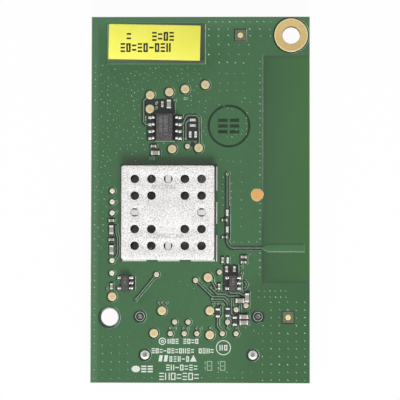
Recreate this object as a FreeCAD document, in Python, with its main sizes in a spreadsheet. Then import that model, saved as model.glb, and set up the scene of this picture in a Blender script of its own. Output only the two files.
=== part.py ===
import FreeCAD, Part
import Sketcher
import math
import os

# A small wireless circuit module: a board that carries a shield can, a memory chip,
# two regulators, chip parts and test pads on its face, and a side entry connector behind.
# Millimetres. +Z leaves the board's component face, +Y is the end with the label.
# The origin is under the board's centre, on the plane that the rear connector rests on.

Vector = FreeCAD.Vector
doc = FreeCAD.newDocument("WirelessModule")
sheet = doc.addObject("Spreadsheet::Sheet", "Sizes")

# Driving dimensions. Places on the board are measured from its edges, or from a
# larger part, right of it and below it as one looks at the component face.
SIZES = {
    # Board
    "board_width": "40.0",
    "board_length": "67.0",
    "laminate_thickness": "1.55",
    "copper_thickness": "0.05",
    # Screw holes
    "screw_hole_radius": "1.6",
    "screw_ring_radius": "3.1",
    "plating_thickness": "0.05",
    "upper_hole_from_right": "3.4",
    "upper_hole_from_top": "3.4",
    "lower_hole_from_left": "3.45",
    "lower_hole_from_top": "55.05",
    # Test pads and alignment marks
    "large_pad_radius": "0.8",
    "small_pad_radius": "0.48",
    "large_pad_sides": "24",
    "small_pad_sides": "12",
    "mark_radius": "0.5",
    "upper_mark_from_left": "27.3",
    "lower_mark_from_right": "3.95",
    # Label
    "label_width": "16.8",
    "label_length": "6.45",
    "label_thickness": "0.08",
    "label_turn": "-1.1",
    "label_from_left": "11.55",
    "label_from_top": "4.7",
    # Inspection mark
    "dot_from_left": "30.4",
    "dot_from_top": "32.7",
    "dot_radius": "1.22",
    "dot_thickness": "0.03",
    # Antenna
    "antenna_zone_width": "8.75",
    "antenna_zone_length": "41.95",
    "antenna_zone_from_top": "6.9",
    "antenna_width": "6.7",
    "antenna_height": "1.5",
    "antenna_taper": "1.1",
    "feed_from_zone_end": "6.45",
    # Radio line beside the shield
    "radio_line_from_left": "24.95",
    "radio_line_width": "0.36",
    "radio_line_start": "7.1",
    "radio_bend": "1.3",
    # Other traces
    "trace_width": "0.22",
    # Shield can
    "shield_from_left": "14.25",
    "shield_from_top": "36.0",
    "shield_height": "2.4",
    "cover_side": "17.25",
    "cover_depth": "1.5",
    "cover_sheet": "0.15",
    "cover_corner": "0.4",
    "cover_edge": "0.2",
    "vent_radius": "0.76",
    "vent_pitch": "3.04",
    "frame_clearance": "0.05",
    "frame_sheet": "0.2",
    "foot_reach": "0.22",
    "flange_width": "0.8",
    "rib_width": "0.9",
    "pickup_radius": "2.7",
    "notch_width": "2.05",
    "notch_offset": "3.02",
    "notch_height": "0.6",
    # Memory chip
    "memory_from_left": "13.55",
    "memory_from_top": "20.45",
    "memory_body_width": "3.9",
    "memory_body_length": "4.9",
    "memory_body_height": "1.5",
    "memory_standoff": "0.15",
    "memory_bevel": "0.35",
    "memory_lead_span": "6.0",
    "memory_lead_pitch": "1.27",
    "memory_lead_width": "0.42",
    "memory_lead_thickness": "0.2",
    "memory_lead_shoulder": "0.35",
    "memory_lead_bend": "0.12",
    # Regulators
    "left_regulator_from_left": "6.35",
    "right_regulator_from_left": "26.05",
    "regulators_from_top": "48.8",
    "regulator_body_width": "1.6",
    "regulator_body_length": "2.9",
    "regulator_body_height": "1.1",
    "regulator_standoff": "0.1",
    "regulator_lead_span": "2.8",
    "regulator_lead_pitch": "0.95",
    "regulator_lead_width": "0.4",
    "regulator_lead_thickness": "0.15",
    "regulator_lead_shoulder": "0.15",
    "regulator_lead_bend": "0.07",
    "side_draft": "7.0",
    # Chip parts
    "small_chip_length": "1.0",
    "small_chip_width": "0.5",
    "small_cap_length": "0.25",
    "large_chip_length": "1.6",
    "large_chip_width": "0.8",
    "large_cap_length": "0.35",
    "small_capacitor_height": "0.5",
    "large_capacitor_height": "0.75",
    "small_resistor_height": "0.35",
    "large_resistor_height": "0.45",
    "cap_wrap": "0.02",
    "pad_extension": "0.1",
    "column_from_left": "3.85",
    # Parts under the shield, placed right of and below its centre
    "radio_chip_side": "8.0",
    "radio_chip_height": "0.85",
    "radio_chip_right": "-1.6",
    "radio_chip_below": "0.6",
    "front_end_side": "3.6",
    "front_end_height": "0.9",
    "front_end_right": "5.6",
    "front_end_below": "0.6",
    "crystal_right": "5.8",
    "crystal_below": "-5.6",
    "crystal_length": "3.2",
    "crystal_width": "2.5",
    "crystal_height": "0.75",
    "crystal_rim": "0.15",
    "crystal_lid": "0.2",
    "inductor_side": "2.4",
    "inductor_height": "1.1",
    "inductor_corner": "0.5",
    # Rear connector
    "connector_from_left": "19.8",
    "connector_from_bottom": "2.8",
    "connector_height": "3.4",
    "connector_width": "24.4",
    "connector_depth": "10.5",
    "connector_corner": "0.3",
    "mouth_width": "20.0",
    "mouth_height": "1.9",
    "mouth_depth": "7.0",
    "mouth_lead_in": "0.25",
    "peg_from_rear": "1.2",
    "peg_spacing": "21.5",
    "peg_radius": "0.65",
    "peg_tip_chamfer": "0.22",
    "peg_recess": "0.1",
    "peg_hole_radius": "0.7",
    "anchor_from_pegs": "7.0",
    "anchor_spacing": "19.65",
    "anchor_pin_radius": "0.38",
    "anchor_pin_rise": "0.3",
    "anchor_hole_radius": "0.45",
    "anchor_pad_radius": "0.82",
    "anchor_plate_width": "2.0",
    "anchor_plate_length": "3.0",
    "anchor_plate_thickness": "0.3",
    "solder_rise": "0.22",
    "contact_count": "15",
    "contact_pitch": "1.25",
    "contact_width": "0.45",
    "contact_thickness": "0.25",
    "contact_reach": "4.5",
    "contact_tail": "1.1",
    "contact_bend": "0.1",
}

for row, (name, text) in enumerate(SIZES.items(), start=1):
    sheet.set(f"A{row}", name)
    sheet.set(f"B{row}", text)
    sheet.setAlias(f"B{row}", name)
doc.recompute()

nodes = []


def number(expression):
    """The expression's value with the sheet's present sizes."""
    result = sheet.evalExpression(expression.replace("Sizes.", ""))
    return float(getattr(result, "Value", result))


def from_left(distance):
    return f"({distance}) - Sizes.board_width / 2"


def from_right(distance):
    return f"Sizes.board_width / 2 - ({distance})"


def from_top(distance):
    return f"Sizes.board_length / 2 - ({distance})"


def from_bottom(distance):
    return f"({distance}) - Sizes.board_length / 2"


# Levels of the board's layers
BACK_Z = "Sizes.connector_height"
FACE_Z = "Sizes.connector_height + Sizes.laminate_thickness"
COPPER_Z = "Sizes.connector_height + Sizes.laminate_thickness + Sizes.copper_thickness"

# Places that groups of small parts are measured from
MEMORY = (from_left("Sizes.memory_from_left"), from_top("Sizes.memory_from_top"))
SHIELD = (from_left("Sizes.shield_from_left"), from_top("Sizes.shield_from_top"))
COLUMN = (from_left("Sizes.column_from_left"), from_top("Sizes.shield_from_top"))
RADIO_LINE = (from_left("Sizes.radio_line_from_left"), from_top("Sizes.shield_from_top"))
LEFT_REGULATOR = (from_left("Sizes.left_regulator_from_left"), from_top("Sizes.regulators_from_top"))
RIGHT_REGULATOR = (from_left("Sizes.right_regulator_from_left"), from_top("Sizes.regulators_from_top"))
UPPER_HOLE = (from_right("Sizes.upper_hole_from_right"), from_top("Sizes.upper_hole_from_top"))
LOWER_HOLE = (from_left("Sizes.lower_hole_from_left"), from_top("Sizes.lower_hole_from_top"))
CONNECTOR_X = from_left("Sizes.connector_from_left")
CONNECTOR_Y = from_bottom("Sizes.connector_from_bottom + Sizes.connector_depth")
PEG_Y = f"{CONNECTOR_Y} - Sizes.peg_from_rear"
ANCHOR_Y = f"{PEG_Y} - Sizes.anchor_from_pegs"


def beside(datum, right, below):
    """A place so far right of and below a datum on the component face."""
    return f"{datum[0]} + ({right})", f"{datum[1]} - ({below})"


# Helpers for placed objects

def bind(item, **expressions):
    for name, expression in expressions.items():
        item.setExpression(name, expression)


def place(item, x, y, z):
    for axis, expression in zip("xyz", (x, y, z)):
        item.setExpression(f"Placement.Base.{axis}", expression)


def block(name, centre, base, length, width, height):
    box = doc.addObject("Part::Box", name)
    bind(box, Length=length, Width=width, Height=height)
    place(box, f"{centre[0]} - ({length}) / 2", f"{centre[1]} - ({width}) / 2", base)
    return box


def disc(name, centre, base, radius, height):
    cylinder = doc.addObject("Part::Cylinder", name)
    bind(cylinder, Radius=radius, Height=height)
    place(cylinder, centre[0], centre[1], base)
    return cylinder


def as_node(item, label):
    item.Label = label
    nodes.append(item)
    return item


def group(label, members):
    """Like pieces that share one node, each still a solid of its own."""
    compound = doc.addObject("Part::Compound", label)
    compound.Links = members
    return as_node(compound, label)


def fuse(name, members):
    union = doc.addObject("Part::MultiFuse", name)
    union.Shapes = members
    return union


def cut(name, base, tool):
    difference = doc.addObject("Part::Cut", name)
    difference.Base = base
    difference.Tool = tool
    return difference


# Helpers for bodies made from sketches

def new_body(name, centre=("0", "0"), base="0"):
    body = doc.addObject("PartDesign::Body", name)
    place(body, centre[0], centre[1], base)
    doc.recompute()
    return body


def origin_part(body, role):
    return next(item for item in body.Origin.OriginFeatures if item.Role == role)


def new_sketch(body, name, plane="XY_Plane", height="0"):
    sketch = body.newObject("Sketcher::SketchObject", name)
    sketch.AttachmentSupport = [(origin_part(body, plane), "")]
    sketch.MapMode = "FlatFace"
    sketch.setExpression("AttachmentOffset.Base.z", height)
    return sketch


def fix_point(sketch, geometry, end, x, y):
    """Tie one point of a sketch to the sheet, both ways from the sketch's origin."""
    for kind, expression in (("DistanceX", x), ("DistanceY", y)):
        constraint = Sketcher.Constraint(kind, -1, 1, geometry, end, number(expression))
        index = sketch.addConstraint(constraint)
        sketch.renameConstraint(index, f"{kind}{geometry}_{end}")
        sketch.setExpression(f"Constraints.{kind}{geometry}_{end}", expression)


def add_outline(sketch, points):
    """A closed outline of straight sides through points given as pairs of expressions."""
    corners = [Vector(number(x), number(y), 0) for x, y in points]
    first = sketch.GeometryCount
    count = len(corners)
    for index in range(count):
        sketch.addGeometry(Part.LineSegment(corners[index], corners[(index + 1) % count]), False)
    for index in range(count):
        following = first + (index + 1) % count
        sketch.addConstraint(Sketcher.Constraint("Coincident", first + index, 2, following, 1))
        fix_point(sketch, first + index, 1, *points[index])


def add_square(sketch, side):
    half = f"({side}) / 2"
    add_outline(sketch, ((f"-{half}", f"-{half}"), (half, f"-{half}"), (half, half), (f"-{half}", half)))


def add_rectangle(sketch, width, length, centre=("0", "0")):
    left, right = (f"{centre[0]} {sign} ({width}) / 2" for sign in "-+")
    low, high = (f"{centre[1]} {sign} ({length}) / 2" for sign in "-+")
    add_outline(sketch, ((left, low), (right, low), (right, high), (left, high)))


def add_circle(sketch, radius, centre=("0", "0")):
    place_now = Vector(number(centre[0]), number(centre[1]), 0)
    geometry = sketch.addGeometry(Part.Circle(place_now, Vector(0, 0, 1), number(radius)), False)
    fix_point(sketch, geometry, 3, *centre)
    index = sketch.addConstraint(Sketcher.Constraint("Radius", geometry, number(radius)))
    sketch.renameConstraint(index, f"Radius{geometry}")
    sketch.setExpression(f"Constraints.Radius{geometry}", radius)


def pad(body, name, sketch, length, **settings):
    feature = body.newObject("PartDesign::Pad", name)
    feature.Profile = sketch
    feature.setExpression("Length", length)
    for key, setting in settings.items():
        setattr(feature, key, setting)
    sketch.Visibility = False
    doc.recompute()
    return feature


def pocket(body, name, sketch, length=None, **settings):
    """A pocket of the given depth, or through everything both ways from its sketch."""
    before = body.Shape.Volume
    feature = body.newObject("PartDesign::Pocket", name)
    feature.Profile = sketch
    if length is None:
        feature.Type = "ThroughAll"
        feature.Midplane = True
    else:
        feature.setExpression("Length", length)
    for key, setting in settings.items():
        setattr(feature, key, setting)
    sketch.Visibility = False
    doc.recompute()
    if feature.Shape.Volume >= before:
        raise RuntimeError(f"{body.Name}.{name} cuts nothing")
    return feature


def around(body, name, features, count, angle="360"):
    """Copies of features turned about the body's Z axis."""
    pattern = body.newObject("PartDesign::PolarPattern", name)
    pattern.Originals = features
    pattern.Axis = (origin_part(body, "Z_Axis"), [""])
    bind(pattern, Angle=angle, Occurrences=count)
    body.Tip = pattern
    doc.recompute()
    return pattern


def along(body, name, axis, length, count, features=None):
    """Copies of features, or of the whole body, spread along one of its axes."""
    pattern = body.newObject("PartDesign::LinearPattern", name)
    pattern.Direction = (origin_part(body, axis), [""])
    if features is None:
        pattern.TransformMode = "Whole shape"
    else:
        pattern.Originals = features
    bind(pattern, Length=length, Occurrences=count)
    body.Tip = pattern
    doc.recompute()
    return pattern


def edges_where(shape, test):
    return [f"Edge{index}" for index, edge in enumerate(shape.Edges, start=1) if test(edge)]


def dress(body, name, kind, base, edges, size_name, size):
    """A fillet (Radius) or chamfer (Size) on edges of the body's last feature."""
    feature = body.newObject(kind, name)
    feature.Base = (base, edges)
    feature.setExpression(size_name, size)
    doc.recompute()
    return feature


def fillet(body, name, base, edges, radius):
    return dress(body, name, "PartDesign::Fillet", base, edges, "Radius", radius)


def chamfer(body, name, base, edges, size):
    return dress(body, name, "PartDesign::Chamfer", base, edges, "Size", size)


def is_upright(edge):
    box = edge.BoundBox
    return box.ZLength > 1e-6 and box.XLength < 1e-6 and box.YLength < 1e-6


def lies_at_height(edge, height):
    box = edge.BoundBox
    return box.ZLength < 1e-6 and abs(box.ZMin - height) < 1e-6


# Board

def circuit_board():
    body = new_body("circuit_board", base=BACK_Z)
    outline = new_sketch(body, "BoardOutline")
    add_rectangle(outline, "Sizes.board_width", "Sizes.board_length")
    pad(body, "Laminate", outline, "Sizes.laminate_thickness")
    holes = new_sketch(body, "DrilledHoles")
    add_circle(holes, "Sizes.screw_hole_radius + Sizes.plating_thickness", UPPER_HOLE)
    add_circle(holes, "Sizes.screw_hole_radius", LOWER_HOLE)
    for sign in ("-", "+"):
        peg = (f"{CONNECTOR_X} {sign} Sizes.peg_spacing / 2", PEG_Y)
        anchor = (f"{CONNECTOR_X} {sign} Sizes.anchor_spacing / 2", ANCHOR_Y)
        add_circle(holes, "Sizes.peg_hole_radius", peg)
        add_circle(holes, "Sizes.anchor_hole_radius", anchor)
    pocket(body, "Holes", holes)
    as_node(body, "circuit_board")


def turn(body, section):
    """One full turn of a section about the body's Z axis."""
    turned = body.newObject("PartDesign::Revolution", f"{body.Name}Turned")
    turned.Profile = section
    turned.ReferenceAxis = (origin_part(body, "Z_Axis"), [""])
    turned.Angle = 360
    section.Visibility = False
    doc.recompute()


def screw_hole_ring():
    """Plated metal that lines the upper hole and spreads into a ring on both faces."""
    body = new_body("screw_hole_ring", UPPER_HOLE, BACK_Z)
    section = new_sketch(body, "RingSection", "XZ_Plane")
    hole = "Sizes.screw_hole_radius"
    wall = "Sizes.screw_hole_radius + Sizes.plating_thickness"
    flange = "Sizes.screw_ring_radius"
    under = "-Sizes.copper_thickness"
    face = "Sizes.laminate_thickness"
    top = "Sizes.laminate_thickness + Sizes.copper_thickness"
    add_outline(section, (
        (hole, under), (flange, under), (flange, "0"), (wall, "0"),
        (wall, face), (flange, face), (flange, top), (hole, top),
    ))
    turn(body, section)
    as_node(body, "screw_hole_ring")


# Test pads: whether large, then how far right of and below the datum
TEST_PADS = (
    (MEMORY, (
        (True, -2.75, -6.05), (True, -2.8, -3.5), (True, 0.75, -6.6), (True, 3.65, -7.15),
        (True, 7.35, -7.95), (True, 1.3, 3.85), (True, 6.15, 3.65), (False, 4.1, 3.35),
    )),
    (COLUMN, (
        (False, 0.05, -4.0), (False, 0.05, -2.0), (False, 0.05, 0.0),
        (False, 0.05, 8.7), (False, 0.05, 11.0), (True, 0.1, 15.3),
    )),
    (LEFT_REGULATOR, ((False, 5.7, -1.55), (True, 6.7, 5.05), (True, 5.25, 9.15))),
    (RIGHT_REGULATOR, (
        (True, -4.6, -1.0), (True, -4.25, 5.05), (True, -4.25, 9.45),
        (False, -6.85, -0.5), (False, -2.5, -2.0), (False, 2.35, 4.1), (False, 0.55, 4.85),
        (False, -10.65, 7.1), (False, -8.2, 7.1), (False, -1.0, 7.1),
        (False, -11.45, 9.2), (False, -8.9, 9.2), (False, -6.6, 9.2), (False, -1.95, 9.2), (False, 0.55, 9.2),
    )),
)

pads = []


def test_pads():
    """Round pads, each a prism with as many sides as its size needs to look round."""
    made = {"large": [], "small": []}
    for datum, places in TEST_PADS:
        for is_large, right, below in places:
            size = "large" if is_large else "small"
            prism = doc.addObject("Part::Prism", f"{size}Pad")
            bind(prism, Polygon=f"Sizes.{size}_pad_sides", Circumradius=f"Sizes.{size}_pad_radius",
                 Height="Sizes.copper_thickness")
            place(prism, *beside(datum, right, below), FACE_Z)
            made[size].append(prism)
    group("large_test_pads", made["large"])
    group("small_test_pads", made["small"])
    return made["large"] + made["small"]


def alignment_marks():
    upper = (from_left("Sizes.upper_mark_from_left"), UPPER_HOLE[1])
    lower = (from_right("Sizes.lower_mark_from_right"), LOWER_HOLE[1])
    group("alignment_marks", [
        disc("Mark", centre, FACE_Z, "Sizes.mark_radius", "Sizes.copper_thickness")
        for centre in (upper, lower)
    ])


# Traces

def ribbon(points, width, base, height):
    """A flat strip of even width along a line of points, with mitred corners."""
    left = []
    right = []
    for index, point in enumerate(points):
        before = points[max(index - 1, 0)]
        after = points[min(index + 1, len(points) - 1)]
        arriving = point - before if index else after - point
        leaving = after - point if index < len(points) - 1 else arriving
        first = Vector(-arriving.y, arriving.x, 0).normalize()
        second = Vector(-leaving.y, leaving.x, 0).normalize()
        mitre = (first + second).normalize()
        reach = width / 2 / mitre.dot(first)
        left.append(point + mitre * reach)
        right.append(point - mitre * reach)
    outline = left + right[::-1]
    face = Part.Face(Part.makePolygon(outline + outline[:1]))
    face.translate(Vector(0, 0, base))
    return face.extrude(Vector(0, 0, height))


def points_beside(datum, offsets):
    x, y = (number(expression) for expression in datum)
    return [Vector(x + right, y - below, 0) for right, below in offsets]


# Signal traces as lines of points, right of and below the datum
TRACES = (
    (MEMORY, (
        ((-2.75, -6.05), (-3.5, -5.5), (-3.95, -5.0), (-3.95, -1.1), (-3.5, -0.65), (-2.7, -0.65)),
        ((2.7, -0.65), (3.25, -0.65), (3.7, -1.85), (4.1, -2.3),
         (5.75, -2.3), (6.2, -1.85), (6.3, 2.2), (6.15, 3.65)),
        ((4.6, -1.45), (4.25, -1.4), (3.8, -0.9), (3.8, 2.0)),
    )),
    (LEFT_REGULATOR, (((5.7, -1.55), (1.9, 3.0)),)),
    (RIGHT_REGULATOR, (
        ((-6.85, -0.5), (-3.8, 2.45), (-1.6, 2.45), (-1.0, 3.0)),
        ((-4.05, 0.8), (-3.7, 1.25), (-2.9, 2.0), (-1.4, 2.0), (-0.95, 2.35), (0.7, 2.35)),
        ((-0.8, 1.35), (-0.5, 1.8), (1.05, 1.8), (2.15, 2.35)),
        ((-4.6, -1.0), (-3.7, 0.0), (-3.1, 1.15)),
        ((-0.3, 2.95), (-0.3, 5.5), (0.15, 5.9)),
        ((-3.85, 2.95), (-1.8, 2.95), (-1.05, 3.7), (-1.05, 4.7)),
        ((-2.85, 6.1), (-2.85, 7.9), (-2.2, 8.7), (-1.95, 9.2)),
        ((-1.0, 6.1), (-1.0, 8.25)),
    )),
)


def radio_line_points():
    """Down past the matching parts, round a bend and across to the antenna zone."""
    x, shield_y = (number(expression) for expression in RADIO_LINE)
    top = shield_y + number("Sizes.radio_line_start")
    feed = number(FEED_Y)
    end = number(ZONE_X)
    bend = number("Sizes.radio_bend")
    points = [Vector(x, top, 0)]
    for step in range(5):
        angle = math.radians(90 * step / 4)
        points.append(Vector(x + bend - bend * math.cos(angle), feed + bend - bend * math.sin(angle), 0))
    points.append(Vector(end, feed, 0))
    return points


ZONE_X = from_right("Sizes.antenna_zone_width")
FEED_Y = from_top("Sizes.antenna_zone_from_top + Sizes.antenna_zone_length - Sizes.feed_from_zone_end")


def signal_traces(soldered):
    """Every trace at its full width, trimmed where a pad takes over."""
    face = number(FACE_Z)
    copper = number("Sizes.copper_thickness")
    strips = [ribbon(radio_line_points(), number("Sizes.radio_line_width"), face, copper)]
    for datum, lines in TRACES:
        for offsets in lines:
            strips.append(ribbon(points_beside(datum, offsets), number("Sizes.trace_width"), face, copper))
    shape = doc.addObject("Part::Feature", "TraceStrips")
    shape.Shape = strips[0].multiFuse(strips[1:])
    as_node(cut("signal_traces", shape, fuse("PadsOnTraces", soldered)), "signal_traces")


def antenna_element():
    body = new_body("antenna_element", (ZONE_X, FEED_Y), FACE_Z)
    outline = new_sketch(body, "AntennaOutline")
    line = "Sizes.radio_line_width / 2"
    half = "Sizes.antenna_height / 2"
    end = "Sizes.antenna_taper + Sizes.antenna_width"
    add_outline(outline, (
        ("0", f"-{line}"), ("Sizes.antenna_taper", f"-{half}"), (end, f"-{half}"),
        (end, half), ("Sizes.antenna_taper", half), ("0", line),
    ))
    pad(body, "AntennaCopper", outline, "Sizes.copper_thickness")
    as_node(body, "antenna_element")


# Label and inspection mark

LABEL_X = from_left("Sizes.label_from_left")
LABEL_Y = from_top("Sizes.label_from_top")


def part_label():
    body = new_body("part_label", (LABEL_X, LABEL_Y), FACE_Z)
    body.setExpression("Placement.Rotation.Angle", "Sizes.label_turn")
    outline = new_sketch(body, "LabelOutline")
    add_rectangle(outline, "Sizes.label_width", "Sizes.label_length")
    pad(body, "Paper", outline, "Sizes.label_thickness")
    as_node(body, "part_label")


def inspection_dot():
    centre = (from_left("Sizes.dot_from_left"), from_top("Sizes.dot_from_top"))
    drop = disc("inspection_dot", centre, FACE_Z, "Sizes.dot_radius", "Sizes.dot_thickness")
    as_node(drop, "inspection_dot")


# Shield can

FRAME_SIDE = "Sizes.cover_side - 2 * Sizes.cover_sheet - 2 * Sizes.frame_clearance"
FRAME_HEIGHT = "Sizes.shield_height - Sizes.cover_sheet"


def shield_frame():
    body = new_body("shield_frame", SHIELD, FACE_Z)
    foot = new_sketch(body, "Foot")
    add_square(foot, "Sizes.cover_side + 2 * Sizes.foot_reach")
    pad(body, "FootPlate", foot, "Sizes.frame_sheet")
    wall = new_sketch(body, "Wall")
    add_square(wall, FRAME_SIDE)
    walls = pad(body, "WallBlock", wall, FRAME_HEIGHT)
    corner = number("Sizes.cover_corner - Sizes.cover_sheet")
    upright = edges_where(walls.Shape, lambda edge: is_upright(edge) and edge.Length > 2 * corner)
    corners = fillet(body, "WallCorners", walls, upright, "Sizes.cover_corner - Sizes.cover_sheet")
    top = number(FRAME_HEIGHT)
    rim = edges_where(corners.Shape, lambda edge: lies_at_height(edge, top))
    chamfer(body, "WallRim", corners, rim, "Sizes.cover_edge - Sizes.frame_clearance")
    inside = f"{FRAME_SIDE} - 2 * Sizes.frame_sheet"
    room = new_sketch(body, "Room")
    add_square(room, inside)
    pocket(body, "Hollow", room, f"{FRAME_HEIGHT} - Sizes.frame_sheet", Reversed=True)
    window = new_sketch(body, "Window")
    near = "Sizes.rib_width / 2"
    far = f"({inside}) / 2 - Sizes.flange_width"
    add_outline(window, ((near, near), (far, near), (far, far), (near, far)))
    opening = pocket(body, "QuarterWindow", window)
    around(body, "Windows", [opening], "4")
    disc_sketch = new_sketch(body, "PickupDisc", height=f"{FRAME_HEIGHT} - Sizes.frame_sheet")
    add_circle(disc_sketch, "Sizes.pickup_radius")
    pad(body, "Pickup", disc_sketch, "Sizes.frame_sheet")
    notch = new_sketch(body, "Notch", "XZ_Plane")
    for sign in ("-", ""):
        centre = (f"{sign}Sizes.notch_offset", "Sizes.notch_height / 2")
        add_rectangle(notch, "Sizes.notch_width", "Sizes.notch_height", centre)
    notches = pocket(body, "Notches", notch)
    around(body, "CrossNotches", [notches], "2", "90")
    as_node(body, "shield_frame")


def shield_cover():
    body = new_body("shield_cover", SHIELD, FACE_Z)
    outline = new_sketch(body, "CoverOutline", height="Sizes.shield_height - Sizes.cover_depth")
    add_square(outline, "Sizes.cover_side")
    blank = pad(body, "CoverBlank", outline, "Sizes.cover_depth")
    corners = fillet(
        body, "CoverCorners", blank, edges_where(blank.Shape, is_upright), "Sizes.cover_corner",
    )
    top = number("Sizes.shield_height")
    rim = edges_where(corners.Shape, lambda edge: lies_at_height(edge, top))
    rounded = chamfer(body, "CoverRim", corners, rim, "Sizes.cover_edge")
    shell = body.newObject("PartDesign::Thickness", "CoverShell")
    lowest = min(
        range(len(rounded.Shape.Faces)),
        key=lambda index: rounded.Shape.Faces[index].CenterOfMass.z,
    )
    shell.Base = (rounded, [f"Face{lowest + 1}"])
    shell.setExpression("Value", "Sizes.cover_sheet")
    shell.Reversed = True
    doc.recompute()
    quarter = new_sketch(body, "QuarterVents")
    for across in ("Sizes.vent_pitch", "2 * Sizes.vent_pitch"):
        for up in ("Sizes.vent_pitch", "2 * Sizes.vent_pitch"):
            add_circle(quarter, "Sizes.vent_radius", (across, up))
    around(body, "CornerVents", [pocket(body, "CornerVent", quarter)], "4")
    side = new_sketch(body, "SideVents")
    add_circle(side, "Sizes.vent_radius", ("2 * Sizes.vent_pitch", "0"))
    around(body, "RibVents", [pocket(body, "RibVent", side)], "4")
    as_node(body, "shield_cover")


# Moulded packages and their leads

def package(label, kind, centre, bevel=None):
    """A moulded body: a straight band where the leads come out, drafted above and below."""
    width = f"Sizes.{kind}_body_width"
    length = f"Sizes.{kind}_body_length"
    band = f"Sizes.{kind}_lead_thickness"
    half = f"(Sizes.{kind}_body_height - {band}) / 2"
    band_low = f"Sizes.{kind}_standoff + {half}"
    body = new_body(label, centre, COPPER_Z)
    middle = new_sketch(body, "Band", height=band_low)
    add_rectangle(middle, width, length)
    pad(body, "LeadBand", middle, band)
    upper = new_sketch(body, "UpperOutline", height=f"{band_low} + {band}")
    add_rectangle(upper, width, length)
    above = pad(body, "UpperHalf", upper, half)
    above.setExpression("TaperAngle", "-Sizes.side_draft")
    lower = new_sketch(body, "LowerOutline", height=band_low)
    add_rectangle(lower, width, length)
    below = pad(body, "LowerHalf", lower, half, Reversed=True)
    below.setExpression("TaperAngle", "-Sizes.side_draft")
    doc.recompute()
    if bevel:
        top = number(f"Sizes.{kind}_standoff + Sizes.{kind}_body_height")
        edge = edges_where(below.Shape, lambda item: (
            lies_at_height(item, top) and item.CenterOfMass.x > 0 and item.BoundBox.XLength < 1e-6
        ))
        chamfer(body, "LongBevel", below, edge, bevel)
    as_node(body, label)


def lead_row(name, kind, centre, turned, count, step):
    """One side's gull-wing leads: from the body's band down to a flat foot on the board."""
    body = new_body(name, centre, COPPER_Z)
    if turned:
        body.Placement.Rotation = FreeCAD.Rotation(Vector(0, 0, 1), 180)
    metal = f"Sizes.{kind}_lead_thickness"
    root = f"Sizes.{kind}_body_width / 2"
    tip = f"Sizes.{kind}_lead_span / 2"
    leg = f"{root} + Sizes.{kind}_lead_shoulder"
    low = f"Sizes.{kind}_standoff + (Sizes.{kind}_body_height - {metal}) / 2"
    profile = new_sketch(body, f"{name}Profile", "XZ_Plane")
    add_outline(profile, (
        (root, f"{low} + {metal}"), (f"{leg} + {metal}", f"{low} + {metal}"),
        (f"{leg} + {metal}", metal), (tip, metal), (tip, "0"), (leg, "0"), (leg, low), (root, low),
    ))
    strip = pad(body, f"{name}Strip", profile, f"Sizes.{kind}_lead_width", Midplane=True)
    inner_corners = ((number(f"{leg} + {metal}"), number(metal)), (number(leg), number(low)))
    outer_corners = ((number(leg), 0.0), (number(f"{leg} + {metal}"), number(f"{low} + {metal}")))

    def bend_edges(shape, corners):
        return edges_where(shape, lambda edge: edge.BoundBox.YLength > 1e-6 and any(
            math.hypot(edge.CenterOfMass.x - x, edge.CenterOfMass.z - z) < 1e-6 for x, z in corners
        ))

    bend = f"Sizes.{kind}_lead_bend"
    inner = chamfer(body, f"{name}InnerBends", strip, bend_edges(strip.Shape, inner_corners), bend)
    chamfer(body, f"{name}OuterBends", inner, bend_edges(inner.Shape, outer_corners), f"{bend} + {metal} / 2")
    along(body, f"{name}Row", "Y_Axis", f"({step}) * ({count} - 1)", count)
    start = f"{'' if turned else '-'}({step}) * ({count} - 1) / 2"
    body.setExpression("Placement.Base.y", f"{centre[1]} + {start}")
    doc.recompute()
    solder_row(name, kind, centre, turned, int(count), step)
    return body


def solder_row(name, kind, centre, turned, count, step):
    """The pads under one side's feet."""
    sign = "-" if turned else "+"
    foot = f"(Sizes.{kind}_lead_span / 2 - Sizes.{kind}_body_width / 2 - Sizes.{kind}_lead_shoulder)"
    length = f"{foot} + 2 * Sizes.pad_extension"
    middle = f"{centre[0]} {sign} (Sizes.{kind}_lead_span / 2 - {foot} / 2)"
    width = f"Sizes.{kind}_lead_width + Sizes.pad_extension"
    for index in range(count):
        place_y = f"{centre[1]} + ({step}) * {index - (count - 1) / 2}"
        pads.append(block(f"{name}Pad", (middle, place_y), FACE_Z, length, width, "Sizes.copper_thickness"))


def memory_chip():
    package("memory_chip", "memory", MEMORY, "Sizes.memory_bevel")
    rows = [
        lead_row("MemoryLeft", "memory", MEMORY, True, "4", "Sizes.memory_lead_pitch"),
        lead_row("MemoryRight", "memory", MEMORY, False, "4", "Sizes.memory_lead_pitch"),
    ]
    group("memory_leads", rows)


def regulators():
    for side, centre in (("left", LEFT_REGULATOR), ("right", RIGHT_REGULATOR)):
        package(f"{side}_regulator", "regulator", centre)
        name = side.capitalize()
        rows = [
            lead_row(f"{name}PairRow", "regulator", centre, True, "2", "2 * Sizes.regulator_lead_pitch"),
            lead_row(f"{name}TripleRow", "regulator", centre, False, "3", "Sizes.regulator_lead_pitch"),
        ]
        group(f"{side}_regulator_leads", rows)


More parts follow.
